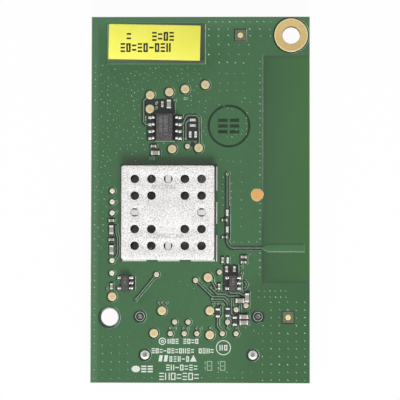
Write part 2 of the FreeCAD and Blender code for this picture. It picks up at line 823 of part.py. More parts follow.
# Chip parts: kind, whether upright, then how far right of and below the datum
CHIPS = (
    (MEMORY, (
        ("small_capacitor", True, -0.5, -4.35), ("large_capacitor", True, 0.7, -4.35),
        ("small_resistor", False, 5.05, -1.45), ("small_resistor", False, 5.05, -0.45),
        ("small_resistor", True, 4.6, 1.15), ("small_resistor", True, 5.6, 1.15),
        ("small_capacitor", False, -2.1, 3.35), ("large_capacitor", False, -1.75, 4.6),
    )),
    (COLUMN, (
        ("small_capacitor", False, -0.05, 1.4), ("large_capacitor", True, -0.05, 3.1),
        ("small_capacitor", False, -0.05, 4.9), ("large_capacitor", True, 0.0, 6.75),
        ("small_capacitor", True, 0.0, 13.4),
    )),
    (RADIO_LINE, (
        ("radio_part", True, 0.0, -0.1), ("radio_part", False, -0.5, 1.3),
        ("radio_part", True, 0.0, 3.0), ("radio_part", False, -0.45, 4.4),
    )),
    (RIGHT_REGULATOR, (
        ("small_capacitor", True, -1.95, -4.2), ("small_resistor", True, -1.0, -4.2),
        ("small_capacitor", False, 1.9, -4.75), ("small_capacitor", False, 1.9, -3.8),
        ("small_capacitor", True, -1.2, -2.55), ("small_capacitor", True, 0.2, -2.55),
        ("small_capacitor", True, -2.55, 0.65),
        ("large_capacitor", False, 1.25, 3.2), ("large_capacitor", True, 2.55, 2.65),
        ("large_resistor", True, -2.8, 5.4), ("large_resistor", True, -1.0, 5.3),
        ("large_resistor", True, 0.3, 6.9),
        ("large_capacitor", False, 1.95, 6.15), ("large_capacitor", False, 1.95, 7.2),
    )),
)

# The sizes that each kind of chip takes: outline, then height
CHIP_KINDS = {
    "small_capacitor": ("small", "Sizes.small_capacitor_height"),
    "large_capacitor": ("large", "Sizes.large_capacitor_height"),
    "small_resistor": ("small", "Sizes.small_resistor_height"),
    "large_resistor": ("large", "Sizes.large_resistor_height"),
    "radio_part": ("small", "Sizes.small_resistor_height"),
}


def chip(kind, upright, centre, base, with_pads=True):
    """A chip part's body and its two end caps, with or without pads under them."""
    outline, height = CHIP_KINDS[kind]
    length = f"Sizes.{outline}_chip_length"
    width = f"Sizes.{outline}_chip_width"
    cap = f"Sizes.{outline}_cap_length"
    wrap = "Sizes.cap_wrap"

    def turned(name, along_it, base_z, piece_length, piece_width, piece_height):
        """A block on the chip's long axis, whichever way the chip lies."""
        if upright:
            middle = (centre[0], f"{centre[1]} + {along_it}")
            return block(name, middle, base_z, piece_width, piece_length, piece_height)
        middle = (f"{centre[0]} + {along_it}", centre[1])
        return block(name, middle, base_z, piece_length, piece_width, piece_height)

    body = turned(
        f"{kind}Body", "0", f"{base} + {wrap}",
        f"{length} - 2 * {cap}", f"{width} - 2 * {wrap}", f"{height} - 2 * {wrap}",
    )
    caps = []
    for sign in ("", "-"):
        caps.append(turned(f"{kind}Cap", f"{sign}({length} - {cap}) / 2", base, cap, width, height))
        if with_pads:
            pads.append(turned(
                f"{kind}Pad", f"{sign}({length} - {cap} + Sizes.pad_extension) / 2", FACE_Z,
                f"{cap} + Sizes.pad_extension", width, "Sizes.copper_thickness",
            ))
    return body, caps


def chip_parts():
    bodies = {"capacitor": [], "resistor": [], "part": []}
    caps = []
    for datum, chips in CHIPS:
        for kind, upright, right, below in chips:
            body, ends = chip(kind, upright, beside(datum, right, below), COPPER_Z)
            bodies[kind.split("_")[-1]].append(body)
            caps.extend(ends)
    group("capacitor_bodies", bodies["capacitor"])
    group("resistor_bodies", bodies["resistor"])
    group("radio_line_parts", bodies["part"])
    group("chip_end_caps", caps)


# Parts under the shield, right of and below its centre
INNER_CAPACITORS = (
    (True, -6.9, -5.2), (True, -6.9, -3.4), (True, -6.9, -1.6), (True, -6.9, 0.2), (True, -6.9, 2.0),
    (False, -3.6, 6.6), (False, -1.8, 6.6), (False, 0.0, 6.6), (False, -3.6, -6.6), (False, -1.8, -6.6),
)
INDUCTORS = ((5.9, 5.6), (2.9, 6.4))


def shielded_parts():
    for label, kind in (("radio_chip", "radio_chip"), ("front_end_chip", "front_end")):
        centre = beside(SHIELD, f"Sizes.{kind}_right", f"Sizes.{kind}_below")
        side = f"Sizes.{kind}_side"
        as_node(block(label, centre, FACE_Z, side, side, f"Sizes.{kind}_height"), label)

    crystal_centre = beside(SHIELD, "Sizes.crystal_right", "Sizes.crystal_below")
    base = block("CrystalBase", crystal_centre, FACE_Z, "Sizes.crystal_length", "Sizes.crystal_width",
                 "Sizes.crystal_height - Sizes.crystal_lid")
    lid = block("CrystalLid", crystal_centre, f"{FACE_Z} + Sizes.crystal_height - Sizes.crystal_lid",
                "Sizes.crystal_length - 2 * Sizes.crystal_rim", "Sizes.crystal_width - 2 * Sizes.crystal_rim",
                "Sizes.crystal_lid")
    as_node(fuse("crystal_can", [base, lid]), "crystal_can")

    inductors = []
    for index, (right, below) in enumerate(INDUCTORS):
        body = new_body(f"Inductor{index + 1}", beside(SHIELD, right, below), FACE_Z)
        outline = new_sketch(body, f"InductorOutline{index + 1}")
        add_square(outline, "Sizes.inductor_side")
        core = pad(body, f"InductorCore{index + 1}", outline, "Sizes.inductor_height")
        corners = edges_where(core.Shape, is_upright)
        chamfer(body, f"InductorCorners{index + 1}", core, corners, "Sizes.inductor_corner")
        inductors.append(body)
    group("power_inductors", inductors)

    bodies = []
    caps = []
    for upright, right, below in INNER_CAPACITORS:
        body, ends = chip("small_capacitor", upright, beside(SHIELD, right, below), FACE_Z, with_pads=False)
        bodies.append(body)
        caps.extend(ends)
    group("shielded_capacitors", bodies)
    group("shielded_end_caps", caps)


# Rear connector: its own frame starts at the middle of the rear face, on the resting plane

def connector_housing():
    body = new_body("connector_housing", (CONNECTOR_X, CONNECTOR_Y))
    middle = "-Sizes.connector_depth / 2"
    outline = new_sketch(body, "HousingOutline")
    add_rectangle(outline, "Sizes.connector_width", "Sizes.connector_depth", ("0", middle))
    blank = pad(body, "HousingBlank", outline, "Sizes.connector_height")
    rounded = fillet(
        body, "HousingCorners", blank, edges_where(blank.Shape, is_upright), "Sizes.connector_corner",
    )
    mouth = new_sketch(body, "Mouth", "XZ_Plane", "Sizes.connector_depth - Sizes.mouth_depth")
    add_rectangle(mouth, "Sizes.mouth_width", "Sizes.mouth_height", ("0", "Sizes.connector_height / 2"))
    opened = pocket(body, "MouthPocket", mouth, "Sizes.mouth_depth", Reversed=True)
    front = -number("Sizes.connector_depth")
    middle_z = number("Sizes.connector_height / 2")
    lip = edges_where(opened.Shape, lambda edge: (
        edge.BoundBox.YLength < 1e-6 and abs(edge.CenterOfMass.y - front) < 1e-6
        and abs(edge.CenterOfMass.z - middle_z) < number("Sizes.mouth_height / 2") + 1e-6
        and abs(edge.CenterOfMass.x) < number("Sizes.mouth_width / 2") + 1e-6
    ))
    chamfer(body, "MouthLeadIn", opened, lip, "Sizes.mouth_lead_in")

    first_x = "-Sizes.contact_pitch * (Sizes.contact_count - 1) / 2"
    slot = new_sketch(body, "ContactSlot", "XZ_Plane")
    slot_centre = (first_x, "Sizes.connector_height / 2")
    add_rectangle(slot, "Sizes.contact_width", "Sizes.contact_thickness", slot_centre)
    slot_cut = pocket(body, "Slot", slot, "Sizes.connector_depth - Sizes.mouth_depth", Reversed=True)
    along(body, "Slots", "X_Axis", "Sizes.contact_pitch * (Sizes.contact_count - 1)",
          "Sizes.contact_count", [slot_cut])

    recess = new_sketch(body, "AnchorRecess", height="Sizes.connector_height")
    anchor_y = "-Sizes.peg_from_rear - Sizes.anchor_from_pegs"
    for sign in ("-", ""):
        centre = (f"{sign}Sizes.anchor_spacing / 2", anchor_y)
        add_rectangle(recess, "Sizes.anchor_plate_width", "Sizes.anchor_plate_length", centre)
    pocket(body, "AnchorRecesses", recess, "Sizes.anchor_plate_thickness")

    pegs = new_sketch(body, "PegOutline", height="Sizes.connector_height")
    for sign in ("-", ""):
        add_circle(pegs, "Sizes.peg_radius", (f"{sign}Sizes.peg_spacing / 2", "-Sizes.peg_from_rear"))
    rise = "Sizes.laminate_thickness + Sizes.copper_thickness - Sizes.peg_recess"
    standing = pad(body, "Pegs", pegs, rise)
    tip = number(f"Sizes.connector_height + {rise}")
    tips = edges_where(standing.Shape, lambda edge: lies_at_height(edge, tip))
    chamfer(body, "PegTips", standing, tips, "Sizes.peg_tip_chamfer")
    as_node(body, "connector_housing")


def connector_contacts():
    row_length = "Sizes.contact_pitch * (Sizes.contact_count - 1)"
    body = new_body("connector_contacts", (f"{CONNECTOR_X} - {row_length} / 2", CONNECTOR_Y))
    metal = "Sizes.contact_thickness"
    tip = "-(Sizes.connector_depth - Sizes.mouth_depth + Sizes.contact_reach)"
    end = f"{metal} + Sizes.contact_tail"
    high = "Sizes.connector_height"
    pin_low = f"Sizes.connector_height / 2 - {metal} / 2"
    pin_high = f"Sizes.connector_height / 2 + {metal} / 2"
    profile = new_sketch(body, "ContactProfile", "YZ_Plane")
    add_outline(profile, (
        (end, high), (end, f"{high} - {metal}"), (metal, f"{high} - {metal}"), (metal, pin_low),
        (tip, pin_low), (tip, pin_high), ("0", pin_high), ("0", high),
    ))
    strip = pad(body, "ContactStrip", profile, "Sizes.contact_width", Midplane=True)
    bends = edges_where(strip.Shape, lambda edge: edge.BoundBox.XLength > 1e-6 and (
        math.hypot(edge.CenterOfMass.y - number(metal), edge.CenterOfMass.z - number(pin_low)) < 1e-6
        or math.hypot(edge.CenterOfMass.y, edge.CenterOfMass.z - number(high)) < 1e-6
    ))
    chamfer(body, "ContactBends", strip, bends, f"Sizes.contact_bend + {metal} / 2")
    along(body, "ContactRow", "X_Axis", row_length, "Sizes.contact_count")
    as_node(body, "connector_contacts")


def connector_anchors():
    anchors = []
    joints = []
    through = "Sizes.laminate_thickness + Sizes.copper_thickness"
    for side, sign in (("Left", "-"), ("Right", "+")):
        centre = (f"{CONNECTOR_X} {sign} Sizes.anchor_spacing / 2", ANCHOR_Y)
        base = f"{BACK_Z} - Sizes.anchor_plate_thickness"
        plate = block(f"AnchorPlate{side}", centre, base, "Sizes.anchor_plate_width",
                      "Sizes.anchor_plate_length", "Sizes.anchor_plate_thickness")
        pin = disc(f"AnchorPin{side}", centre, base, "Sizes.anchor_pin_radius",
                   f"Sizes.anchor_plate_thickness + {through} + Sizes.anchor_pin_rise")
        anchors.append(fuse(f"Anchor{side}", [plate, pin]))
        joints.append(solder_joint(f"Joint{side}", centre))
    group("connector_anchors", anchors)
    group("anchor_solder", joints)


def solder_joint(name, centre):
    """Solder on the component face that rises to an anchor's pin."""
    body = new_body(name, centre, FACE_Z)
    section = new_sketch(body, f"{name}Section", "XZ_Plane")
    pin = "Sizes.anchor_pin_radius"
    land = "Sizes.anchor_pad_radius"
    copper = "Sizes.copper_thickness"
    add_outline(section, (
        (pin, "0"), (land, "0"), (land, copper), (pin, f"{copper} + Sizes.solder_rise"),
    ))
    turn(body, section)
    return body


circuit_board()
screw_hole_ring()
memory_chip()
regulators()
chip_parts()
shielded_parts()
connector_housing()
connector_contacts()
connector_anchors()
alignment_marks()
round_pads = test_pads()
signal_traces(pads + round_pads)
antenna_element()
group("solder_pads", pads)
part_label()
inspection_dot()
shield_frame()
shield_cover()

doc.recompute()
for item in doc.Objects:
    if "Invalid" in item.State or "Error" in item.State:
        raise RuntimeError(f"{item.Name} failed: {item.State}")
for node in nodes:
    if node.Shape.isNull() or not node.Shape.isValid():
        raise RuntimeError(f"{node.Label} has no valid shape")

os.makedirs("parts", exist_ok=True)
for node in nodes:
    node.Shape.exportStep(f"parts/{node.Label}.step")
    print(f"{node.Label}: {len(node.Shape.Solids)} solids, {node.Shape.Volume:.3f} mm3")
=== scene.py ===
import math
import random

import bmesh
import bpy
from mathutils import Matrix, Vector, geometry


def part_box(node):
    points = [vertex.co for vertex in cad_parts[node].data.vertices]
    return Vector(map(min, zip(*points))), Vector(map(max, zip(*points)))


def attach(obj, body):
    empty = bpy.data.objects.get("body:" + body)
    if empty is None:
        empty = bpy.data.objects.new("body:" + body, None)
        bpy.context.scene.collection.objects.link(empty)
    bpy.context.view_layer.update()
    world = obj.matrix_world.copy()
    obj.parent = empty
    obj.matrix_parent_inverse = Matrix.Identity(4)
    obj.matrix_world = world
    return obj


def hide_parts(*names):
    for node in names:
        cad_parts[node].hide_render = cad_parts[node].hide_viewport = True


# The circuit module's looks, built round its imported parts. Meshes are made in millimetres.

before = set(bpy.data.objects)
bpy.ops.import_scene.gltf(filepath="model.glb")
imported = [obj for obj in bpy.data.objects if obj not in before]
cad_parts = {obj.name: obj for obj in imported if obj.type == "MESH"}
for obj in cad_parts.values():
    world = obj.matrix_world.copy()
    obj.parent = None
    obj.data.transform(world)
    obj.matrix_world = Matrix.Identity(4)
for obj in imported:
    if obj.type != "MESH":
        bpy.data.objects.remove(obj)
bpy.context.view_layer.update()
MM = 0.001
RNG = random.Random(7)


# Places and levels, in millimetres

def node_box(name):
    """Lowest and highest corner of a node."""
    low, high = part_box(name)
    return low / MM, high / MM


BOARD_LOW, BOARD_HIGH = node_box("circuit_board")
BACK = BOARD_LOW.z
FLOOR = BOARD_HIGH.z
TOP = node_box("solder_pads")[1].z
SLOT_FLOOR = FLOOR - 0.02
ZONE_LEVEL = TOP - 0.044
# Whatever stands in a slot begins a little under the skin's lowest level
FOOT = SLOT_FLOOR - 0.02
PRINT = 0.012
PRINT_BASE = TOP - 0.002


def spot(left, top):
    """A place on the component face, from the board's left and top edges."""
    return Vector((BOARD_LOW.x + left, BOARD_HIGH.y - top))


def islands(name):
    """Box of each separate solid of a node, as (low, high) pairs."""
    bm = bmesh.new()
    bm.from_mesh(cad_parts[name].data)
    bmesh.ops.remove_doubles(bm, verts=bm.verts, dist=1e-6)
    seen = set()
    boxes = []
    for start in bm.verts:
        if start in seen:
            continue
        seen.add(start)
        waiting = [start]
        found = []
        while waiting:
            vert = waiting.pop()
            found.append(vert.co / MM)
            for edge in vert.link_edges:
                other = edge.other_vert(vert)
                if other not in seen:
                    seen.add(other)
                    waiting.append(other)
        low = Vector(min(co[axis] for co in found) for axis in range(3))
        high = Vector(max(co[axis] for co in found) for axis in range(3))
        boxes.append((low, high))
    bm.free()
    boxes.sort(key=lambda box: (round(box[0].y, 3), round(box[0].x, 3)))
    return boxes


def middle(box):
    """The centre of a (low, high) pair."""
    return (box[0] + box[1]) / 2


# Materials

def rgb(red, green, blue):
    """A display colour, 0 to 255, as the linear colour that shaders take."""
    def linear(value):
        value /= 255
        return value / 12.92 if value <= 0.04045 else ((value + 0.055) / 1.055) ** 2.4
    return linear(red), linear(green), linear(blue), 1.0


# The range that most of a noise's values fall in
MIDDLE = (0.3, 0.7)


class Look:
    """A material under construction, with coordinates in millimetres."""

    def __init__(self, name, roughness=0.5, metallic=0.0, **sockets):
        self.material = bpy.data.materials.new(name)
        self.material.use_nodes = True
        self.tree = self.material.node_tree
        self.shader = self.tree.nodes["Principled BSDF"]
        for socket, value in dict(sockets, Roughness=roughness, Metallic=metallic).items():
            self.put(self.shader, socket, value)
        self.place = self.node("TexCoord").outputs["Object"]
        self.place = self.stretched(1 / MM, 1 / MM, 1 / MM)

    def put(self, node, name, value):
        """Gives a node's socket, known by name or number, a value, a display colour or an output."""
        socket = node.inputs[name.replace("_", " ") if isinstance(name, str) else name]
        if isinstance(value, bpy.types.NodeSocket):
            self.tree.links.new(value, socket)
        elif socket.type == "RGBA" and len(value) == 3:
            socket.default_value = rgb(*value)
        else:
            socket.default_value = value

    def node(self, kind, settings=None, **values):
        """A new node: its settings first, because they decide which sockets it has."""
        node = self.tree.nodes.new("ShaderNode" + kind)
        for name, value in (settings or {}).items():
            setattr(node, name, value)
        for name, value in values.items():
            self.put(node, name, value)
        return node

    def stretched(self, x, y, z):
        return self.node("Mapping", Scale=(x, y, z), Vector=self.place).outputs["Vector"]

    def noise(self, scale, detail=2.0, rough=0.5, stretch=None):
        place = self.stretched(*stretch) if stretch else self.place
        return self.node("TexNoise", Vector=place, Scale=scale, Detail=detail, Roughness=rough).outputs["Fac"]

    def axis(self, letter, of=None):
        return self.node("SeparateXYZ", Vector=of or self.place).outputs[letter]

    def facing(self, letter):
        """One where the surface faces along an axis, nought where it stands across it."""
        return self.axis(letter, self.node("NewGeometry").outputs["True Normal"])

    def span(self, value, low, high, to_low=0.0, to_high=1.0, smooth=False):
        """A value's place between two limits."""
        kind = {"interpolation_type": "SMOOTHSTEP"} if smooth else None
        limits = {"From_Min": low, "From_Max": high, "To_Min": to_low, "To_Max": to_high}
        return self.node("MapRange", kind, Value=value, **limits).outputs["Result"]

    def fade(self, value, low, high, share=1.0, smooth=False):
        """The reverse of a span: a full share below the lower limit, nought above the upper one."""
        return self.span(value, low, high, share, 0.0, smooth)

    def maths(self, operation, result, *others):
        """One value from several, joined one after another."""
        for other in others:
            node = self.node("Math", {"operation": operation})
            self.put(node, 0, result)
            self.put(node, 1, other)
            result = node.outputs["Value"]
        return result

    def times(self, *values):
        return self.maths("MULTIPLY", *values)

    def most(self, *values):
        return self.maths("MAXIMUM", *values)

    def inside(self, low, high, soft_x, soft_y, join="MULTIPLY"):
        """One inside a box on the board and nought outside it, with soft borders of two widths."""
        x, y = self.axis("X"), self.axis("Y")
        return self.maths(
            join, self.span(x, low.x, low.x + soft_x), self.fade(x, high.x - soft_x, high.x),
            self.span(y, low.y, low.y + soft_y), self.fade(y, high.y - soft_y, high.y),
        )

    def mix(self, share, first, second):
        return self.node("Mix", {"data_type": "RGBA"}, Factor=share, A=first, B=second).outputs["Result"]

    def lay(self, under, over, value, low, high, share=1.0):
        """A colour over another, growing to its share between a value's two limits."""
        return self.mix(self.span(value, low, high, 0.0, share), under, over)

    def bump(self, height, depth):
        """Relief of the given depth in millimetres."""
        node = self.node("Bump", Distance=depth * MM, Height=height)
        self.put(self.shader, "Normal", node.outputs["Normal"])

    def finish(self, colour, roughness=None):
        self.put(self.shader, "Base Color", colour)
        if roughness is not None:
            self.put(self.shader, "Roughness", roughness)
        return self.material


def mottled(name, dark, light, scale, grain, rough_range, depth=0.002, **sockets):
    """A material of two tones in clouds, with a finer grain in its colour, gloss and relief."""
    look = Look(name, **sockets)
    clouds = look.noise(scale, 4.0, 0.6)
    fine = look.noise(grain)
    share = look.maths("ADD", look.times(clouds, 0.6), look.times(fine, 0.4))
    look.bump(fine, depth)
    return look.finish(look.lay(dark, light, share, 0.32, 0.68), look.span(clouds, *MIDDLE, *rough_range))


def ink_look(name, dark, light, rough_range=(0.5, 0.6)):
    """Print or fine etched marks: nearly even, with a slight grain."""
    return mottled(name, dark, light, 3.0, 9.0, rough_range, depth=0.001)


# The bare strip, and the label's window as left, right, top and bottom, from the board's left and top edges
ZONE_LEFT = 31.25
ZONE_TOP = 6.9
ZONE_BOTTOM = 48.85
LABEL_WINDOW = (2.64, 20.99, 1.21, 8.79)
MASK_RELIEF = 0.0035

# The rows stamped in the shield's cover, likewise
STAMPED_ROWS = ((11.1, 15.8, 30.9, 31.9), (10.7, 17.1, 39.8, 40.8))


def pour_colour(look, x, y, clouds, weave):
    """Over copper: paler by the left and top edges, deeper at the lower right, and a painted shadow above the
    shield.
    """
    pour = look.lay((50, 97, 57), (54, 102, 61), clouds, 0.35, 0.65)
    pour = look.lay(pour, (63, 112, 70), weave, 0.35, 0.75, 0.4)
    near_edge = look.fade(x, BOARD_LOW.x + 0.9, BOARD_LOW.x + 1.6, 0.55, True)
    near_top = look.span(y, BOARD_HIGH.y - 3.4, BOARD_HIGH.y - 0.5, 0.0, 0.5, True)
    pour = look.mix(look.most(near_edge, near_top), pour, (80, 122, 87))
    lower_right = look.times(look.span(x, 4.0, 10.0), look.fade(y, -17.0, -12.0, 0.6, True))
    pour = look.mix(lower_right, pour, (40, 88, 45))
    # Painted shadow: a greyer band on the mask just above the shield's top edge.
    low, high = node_box("shield_cover")
    above = look.times(
        look.span(x, low.x, low.x + 1.0), look.fade(x, high.x - 1.0, high.x),
        look.fade(y, high.y + 0.6, high.y + 1.9, 0.5, True), look.span(y, high.y - 0.1, high.y),
    )
    return look.mix(above, pour, (50, 72, 56))


def zone_colour(look, x, y):
    """Over bare laminate: the antenna's zone with painted shade at its borders, and the window under the
    label, darker towards the right, with a painted shadow below the label.
    """
    left, top = spot(ZONE_LEFT, ZONE_TOP)
    bottom = spot(0, ZONE_BOTTOM).y
    zone = look.lay((44, 87, 53), (52, 101, 46), x, 11.0, 19.6)
    bands = look.noise(1.1, stretch=(1.0, 0.02, 1.0))
    zone = look.lay(zone, (54, 98, 55), bands, 0.4, 0.7, 0.45)
    # Painted shade along the zone's left, top and bottom borders.
    shade = look.most(
        look.fade(x, left, left + 1.5, 0.6, True), look.span(y, top - 1.2, top, 0.0, 0.6, True),
        look.fade(y, bottom, bottom + 1.1, 0.5, True),
    )
    zone = look.mix(shade, zone, (38, 72, 43))
    # The window darkens towards the right.
    window = look.lay((90, 136, 91), (54, 76, 53), x, -17.4, -2.0)
    # Painted shadow: a greyer band below the label's lower edge.
    foot = spot(0, 8.0).y
    window = look.mix(look.fade(y, foot - 0.1, foot + 0.1, 0.8), window, (84, 98, 80))
    return look.lay(window, zone, x, left - 0.7, left - 0.6)


def crest_colour(look, x, y, weave):
    """The soft steps round every slot: pale towards the light, dark away from it."""
    left, bottom = spot(ZONE_LEFT, ZONE_BOTTOM)
    crest = look.lay((140, 178, 144), (186, 214, 186), weave, 0.35, 0.65)
    side = look.maths("SUBTRACT", look.times(look.facing("Y"), 0.3), look.facing("X"))
    at_left = look.span(x, left - 0.1, left)
    by_strip = look.times(at_left, look.fade(x, left + 0.3, left + 0.35, 0.3), look.span(y, -6.0, 6.0))
    at_foot = look.times(at_left, look.fade(y, bottom + 0.4, bottom + 0.5))
    lit = look.times(look.most(look.span(side, -0.08, 0.3), by_strip), look.span(at_foot, 0.0, 1.0, 1.0, 0.1))
    return look.mix(lit, (40, 70, 45), crest)


def mask_look():
    """Green solder mask: over the copper pour, over bare laminate and in the dark slots."""
    look = Look("solder_mask")
    x, y, z = [look.axis(letter) for letter in "XYZ"]
    clouds = look.noise(0.16, 3.0)
    weave = look.noise(2.4, stretch=(1.0, 0.35, 1.0))
    # The slot floors are mask over bare laminate, and their colour also holds painted shade: they are painted
    # far darker than the bare zone.
    slot = look.lay((24, 30, 26), (34, 42, 36), weave, 0.4, 0.7)
    bare = look.lay(slot, zone_colour(look, x, y), z, ZONE_LEVEL - 0.011, ZONE_LEVEL - 0.004)
    crest = crest_colour(look, x, y, weave)
    bare = look.lay(bare, crest, z, ZONE_LEVEL + 0.002, ZONE_LEVEL + 0.01, 0.85)
    colour = look.lay(bare, pour_colour(look, x, y, clouds, weave), z, TOP - 0.005, TOP - 0.001)
    # Painted shade: the mask under the shield's cover is painted dark grey.
    colour = look.mix(look.inside(*node_box("shield_cover"), 0.1, 0.1, "MINIMUM"), colour, (68, 66, 63))
    rim = look.most(
        look.span(look.maths("ABSOLUTE", x, 0.0), BOARD_HIGH.x - 0.1, BOARD_HIGH.x - 0.03),
        look.span(y, BOARD_HIGH.y - 0.1, BOARD_HIGH.y - 0.03),
        look.fade(y, BOARD_LOW.y + 0.03, BOARD_LOW.y + 0.1, 0.6),
    )
    colour = look.mix(rim, colour, (168, 184, 160))
    look.bump(look.noise(1.6, 2.0, 0.4), MASK_RELIEF)
    look.put(look.shader, "Specular IOR Level", look.span(look.facing("Z"), 0.955, 0.985, 0.06, 0.4))
    return look.finish(colour, look.span(clouds, *MIDDLE, 0.24, 0.31))


def back_mask_look():
    """The mask on the back, paler and plain."""
    look = Look("back_mask", 0.34, Specular_IOR_Level=0.35)
    clouds = look.noise(0.16, 3.0)
    weave = look.noise(2.4, stretch=(0.35, 1.0, 1.0))
    colour = look.lay((64, 102, 70), (68, 108, 75), clouds, 0.35, 0.65)
    look.bump(look.noise(1.6, 2.0, 0.4), MASK_RELIEF)
    return look.finish(look.lay(colour, (76, 116, 83), weave, 0.35, 0.75, 0.35))


def laminate_look():
    """Cut glass laminate: plies of cloth in resin, with the copper planes as fine lines."""
    look = Look("laminate_edge", 0.6)
    z = look.axis("Z")
    plies = look.node("TexWave", {"wave_type": "BANDS", "bands_direction": "Z"},
                      Vector=look.place, Scale=1.6, Distortion=1.2, Detail=3.0)
    threads = look.noise(3.0, 3.0, 0.6, (0.6, 0.6, 5.0))
    colour = look.mix(plies.outputs["Fac"], (118, 128, 84), (150, 152, 104))
    colour = look.lay(colour, (172, 170, 128), threads, 0.4, 0.7, 0.6)
    near_face = look.span(z, TOP - 0.12, TOP - 0.03)
    near_back = look.fade(z, BACK, BACK + 0.07)
    colour = look.mix(look.most(near_face, near_back), colour, (74, 110, 78))
    look.bump(threads, 0.01)
    return look.finish(colour, look.span(threads, *MIDDLE, 0.5, 0.75))


def bare_laminate_look():
    """The laminate that the alignment marks' windows leave bare."""
    return mottled("bare_laminate", (84, 84, 72), (120, 119, 104), 3.0, 9.0, (0.5, 0.65))


def trace_look(name, dark, light):
    """Mask over a trace: paler than its slot, and nearly without gloss."""
    return mottled(name, dark, light, 1.2, 6.0, (0.35, 0.45), depth=0.001, Specular_IOR_Level=0.12)


def patch_look():
    """Mask over the antenna's patch, with a painted highlight on its edge below and at its ends, and painted
    shade on its edge above.
    """
    look = Look("masked_patch", 0.35)
    clouds = look.noise(0.4, 3.0)
    face = look.lay((53, 101, 58), (57, 107, 62), clouds, *MIDDLE)
    # Painted light and shade: edges facing down the board are painted pale, edges facing up are painted dark.
    edge = look.lay((116, 152, 116), (34, 62, 38), look.facing("Y"), -0.05, 0.1)
    look.bump(look.noise(4.0), 0.001)
    return look.finish(look.lay(edge, face, look.axis("Z"), TOP - 0.006, TOP - 0.001))


def via_look():
    """Mask over a filled via: a small crown, pale on the side towards the light."""
    look = Look("tented_via", 0.3)
    speck = look.noise(1.1)
    pale = look.lay((108, 148, 112), (176, 204, 174), speck, 0.35, 0.65)
    towards = look.maths("ADD", look.facing("X"), look.facing("Y"))
    colour = look.lay(pale, (30, 52, 35), towards, 0.02, 0.2)
    look.bump(speck, 0.001)
    return look.finish(colour)


def gold_look(name, centre, rim, tarnish=None):
    """Gold flash over nickel: grained, paler on its rim, with painted shade on its steep walls, tarnished to
    the right.
    """
    look = Look(name, metallic=0.45)
    clouds = look.noise(1.1, 3.0, 0.6)
    grain = look.noise(7.0)
    deeper = (*(0.9 * value for value in rgb(*centre)[:3]), 1.0)
    base = look.lay(centre, deeper, clouds, *MIDDLE)
    base = look.lay(base, rim, grain, 0.35, 0.7, 0.3)
    colour = look.lay(base, rim, look.axis("Z"), TOP - 0.006, TOP - 0.002)
    if tarnish:
        colour = look.lay(colour, tarnish, look.axis("X"), -16.0, -5.0, 0.3)
    # Painted shade: steep walls are painted a dark brown.
    colour = look.mix(look.fade(look.facing("Z"), 0.2, 0.6, 0.8), colour, (78, 68, 50))
    look.bump(grain, 0.0015)
    return look.finish(colour, look.span(clouds, *MIDDLE, 0.42, 0.55))


def stamped_rows(look, colour):
    """Two faint rows of broken grey, where the cover is stamped."""
    stamp = look.span(look.noise(3.4, 1.0, 0.3, (1.0, 0.5, 1.0)), 0.44, 0.5, 0.0, 0.55)
    for left, right, top, bottom in STAMPED_ROWS:
        rows = look.inside(spot(left, bottom), spot(right, top), 0.3, 0.15)
        colour = look.mix(look.times(rows, stamp), colour, (176, 176, 172))
    return colour


def tin_look():
    """Tinned sheet: near white, finely pitted, with painted shade round its bends and two faint stamped rows.
    """
    look = Look("shield_tin", metallic=0.35)
    pits = look.noise(5.4, 3.0, 0.75)
    clouds = look.noise(0.35, 3.0, 0.6)
    rolled = look.noise(2.6, 3.0, 0.6, (0.22, 1.4, 1.0))
    colour = look.lay((245, 244, 243), (251, 250, 249), clouds, *MIDDLE)
    colour = look.lay(colour, (231, 229, 227), rolled, 0.45, 0.75, 0.3)
    colour = look.mix(look.fade(pits, 0.38, 0.5, 0.95), colour, (177, 174, 170))
    colour = look.lay(colour, (253, 252, 251), pits, 0.54, 0.66, 0.9)
    colour = stamped_rows(look, colour)
    # Painted shade: bends turned to the right, the left and the top are painted dark.
    sideways, upward = look.facing("X"), look.facing("Y")
    turned = look.most(
        look.span(sideways, 0.05, 0.12), look.fade(sideways, -0.9, -0.5), look.span(upward, 0.4, 0.8),
    )
    roof = node_box("shield_cover")[1].z
    bend_shade_band = look.span(look.axis("Z"), roof - 0.24, roof - 0.12, 0.0, 1.0, True)
    colour = look.mix(look.times(turned, bend_shade_band), colour, (56, 55, 53))
    look.bump(pits, 0.013)
    return look.finish(colour, look.span(pits, *MIDDLE, 0.68, 0.54))


def frame_tin_look():
    """The frame's sheet: duller than the cover, with painted shade beside the cover's left and top edges and
    in its right gap, and a painted highlight on its right ledge.
    """
    look = Look("frame_tin", metallic=0.5)
    x, y = look.axis("X"), look.axis("Y")
    clouds = look.noise(0.9, 4.0, 0.6)
    fine = look.noise(5.0)
    colour = look.lay((212, 211, 207), (228, 227, 223), clouds, *MIDDLE)
    colour = look.lay(colour, (176, 174, 169), fine, 0.5, 0.75, 0.5)
    low, high = node_box("shield_cover")
    # Painted shade: the frame's upward faces beside the cover's left and top edges, and in the gap at its
    # right, are painted dark.
    painted_lee_shade = look.most(
        look.fade(x, low.x + 0.1, low.x + 0.3), look.span(y, high.y - 0.3, high.y - 0.1),
        look.times(look.span(x, high.x - 0.2, high.x - 0.15), look.fade(x, high.x + 0.05, high.x + 0.1)),
    )
    # Painted highlight: the ledge outside the cover's right side is painted brighter.
    colour = look.lay(colour, (244, 243, 240), x, high.x + 0.08, high.x + 0.12)
    colour = look.mix(look.times(painted_lee_shade, look.span(look.facing("Z"), 0.5, 0.8)), colour, (56, 60, 54))
    look.bump(fine, 0.003)
    return look.finish(colour, look.span(clouds, *MIDDLE, 0.4, 0.55))


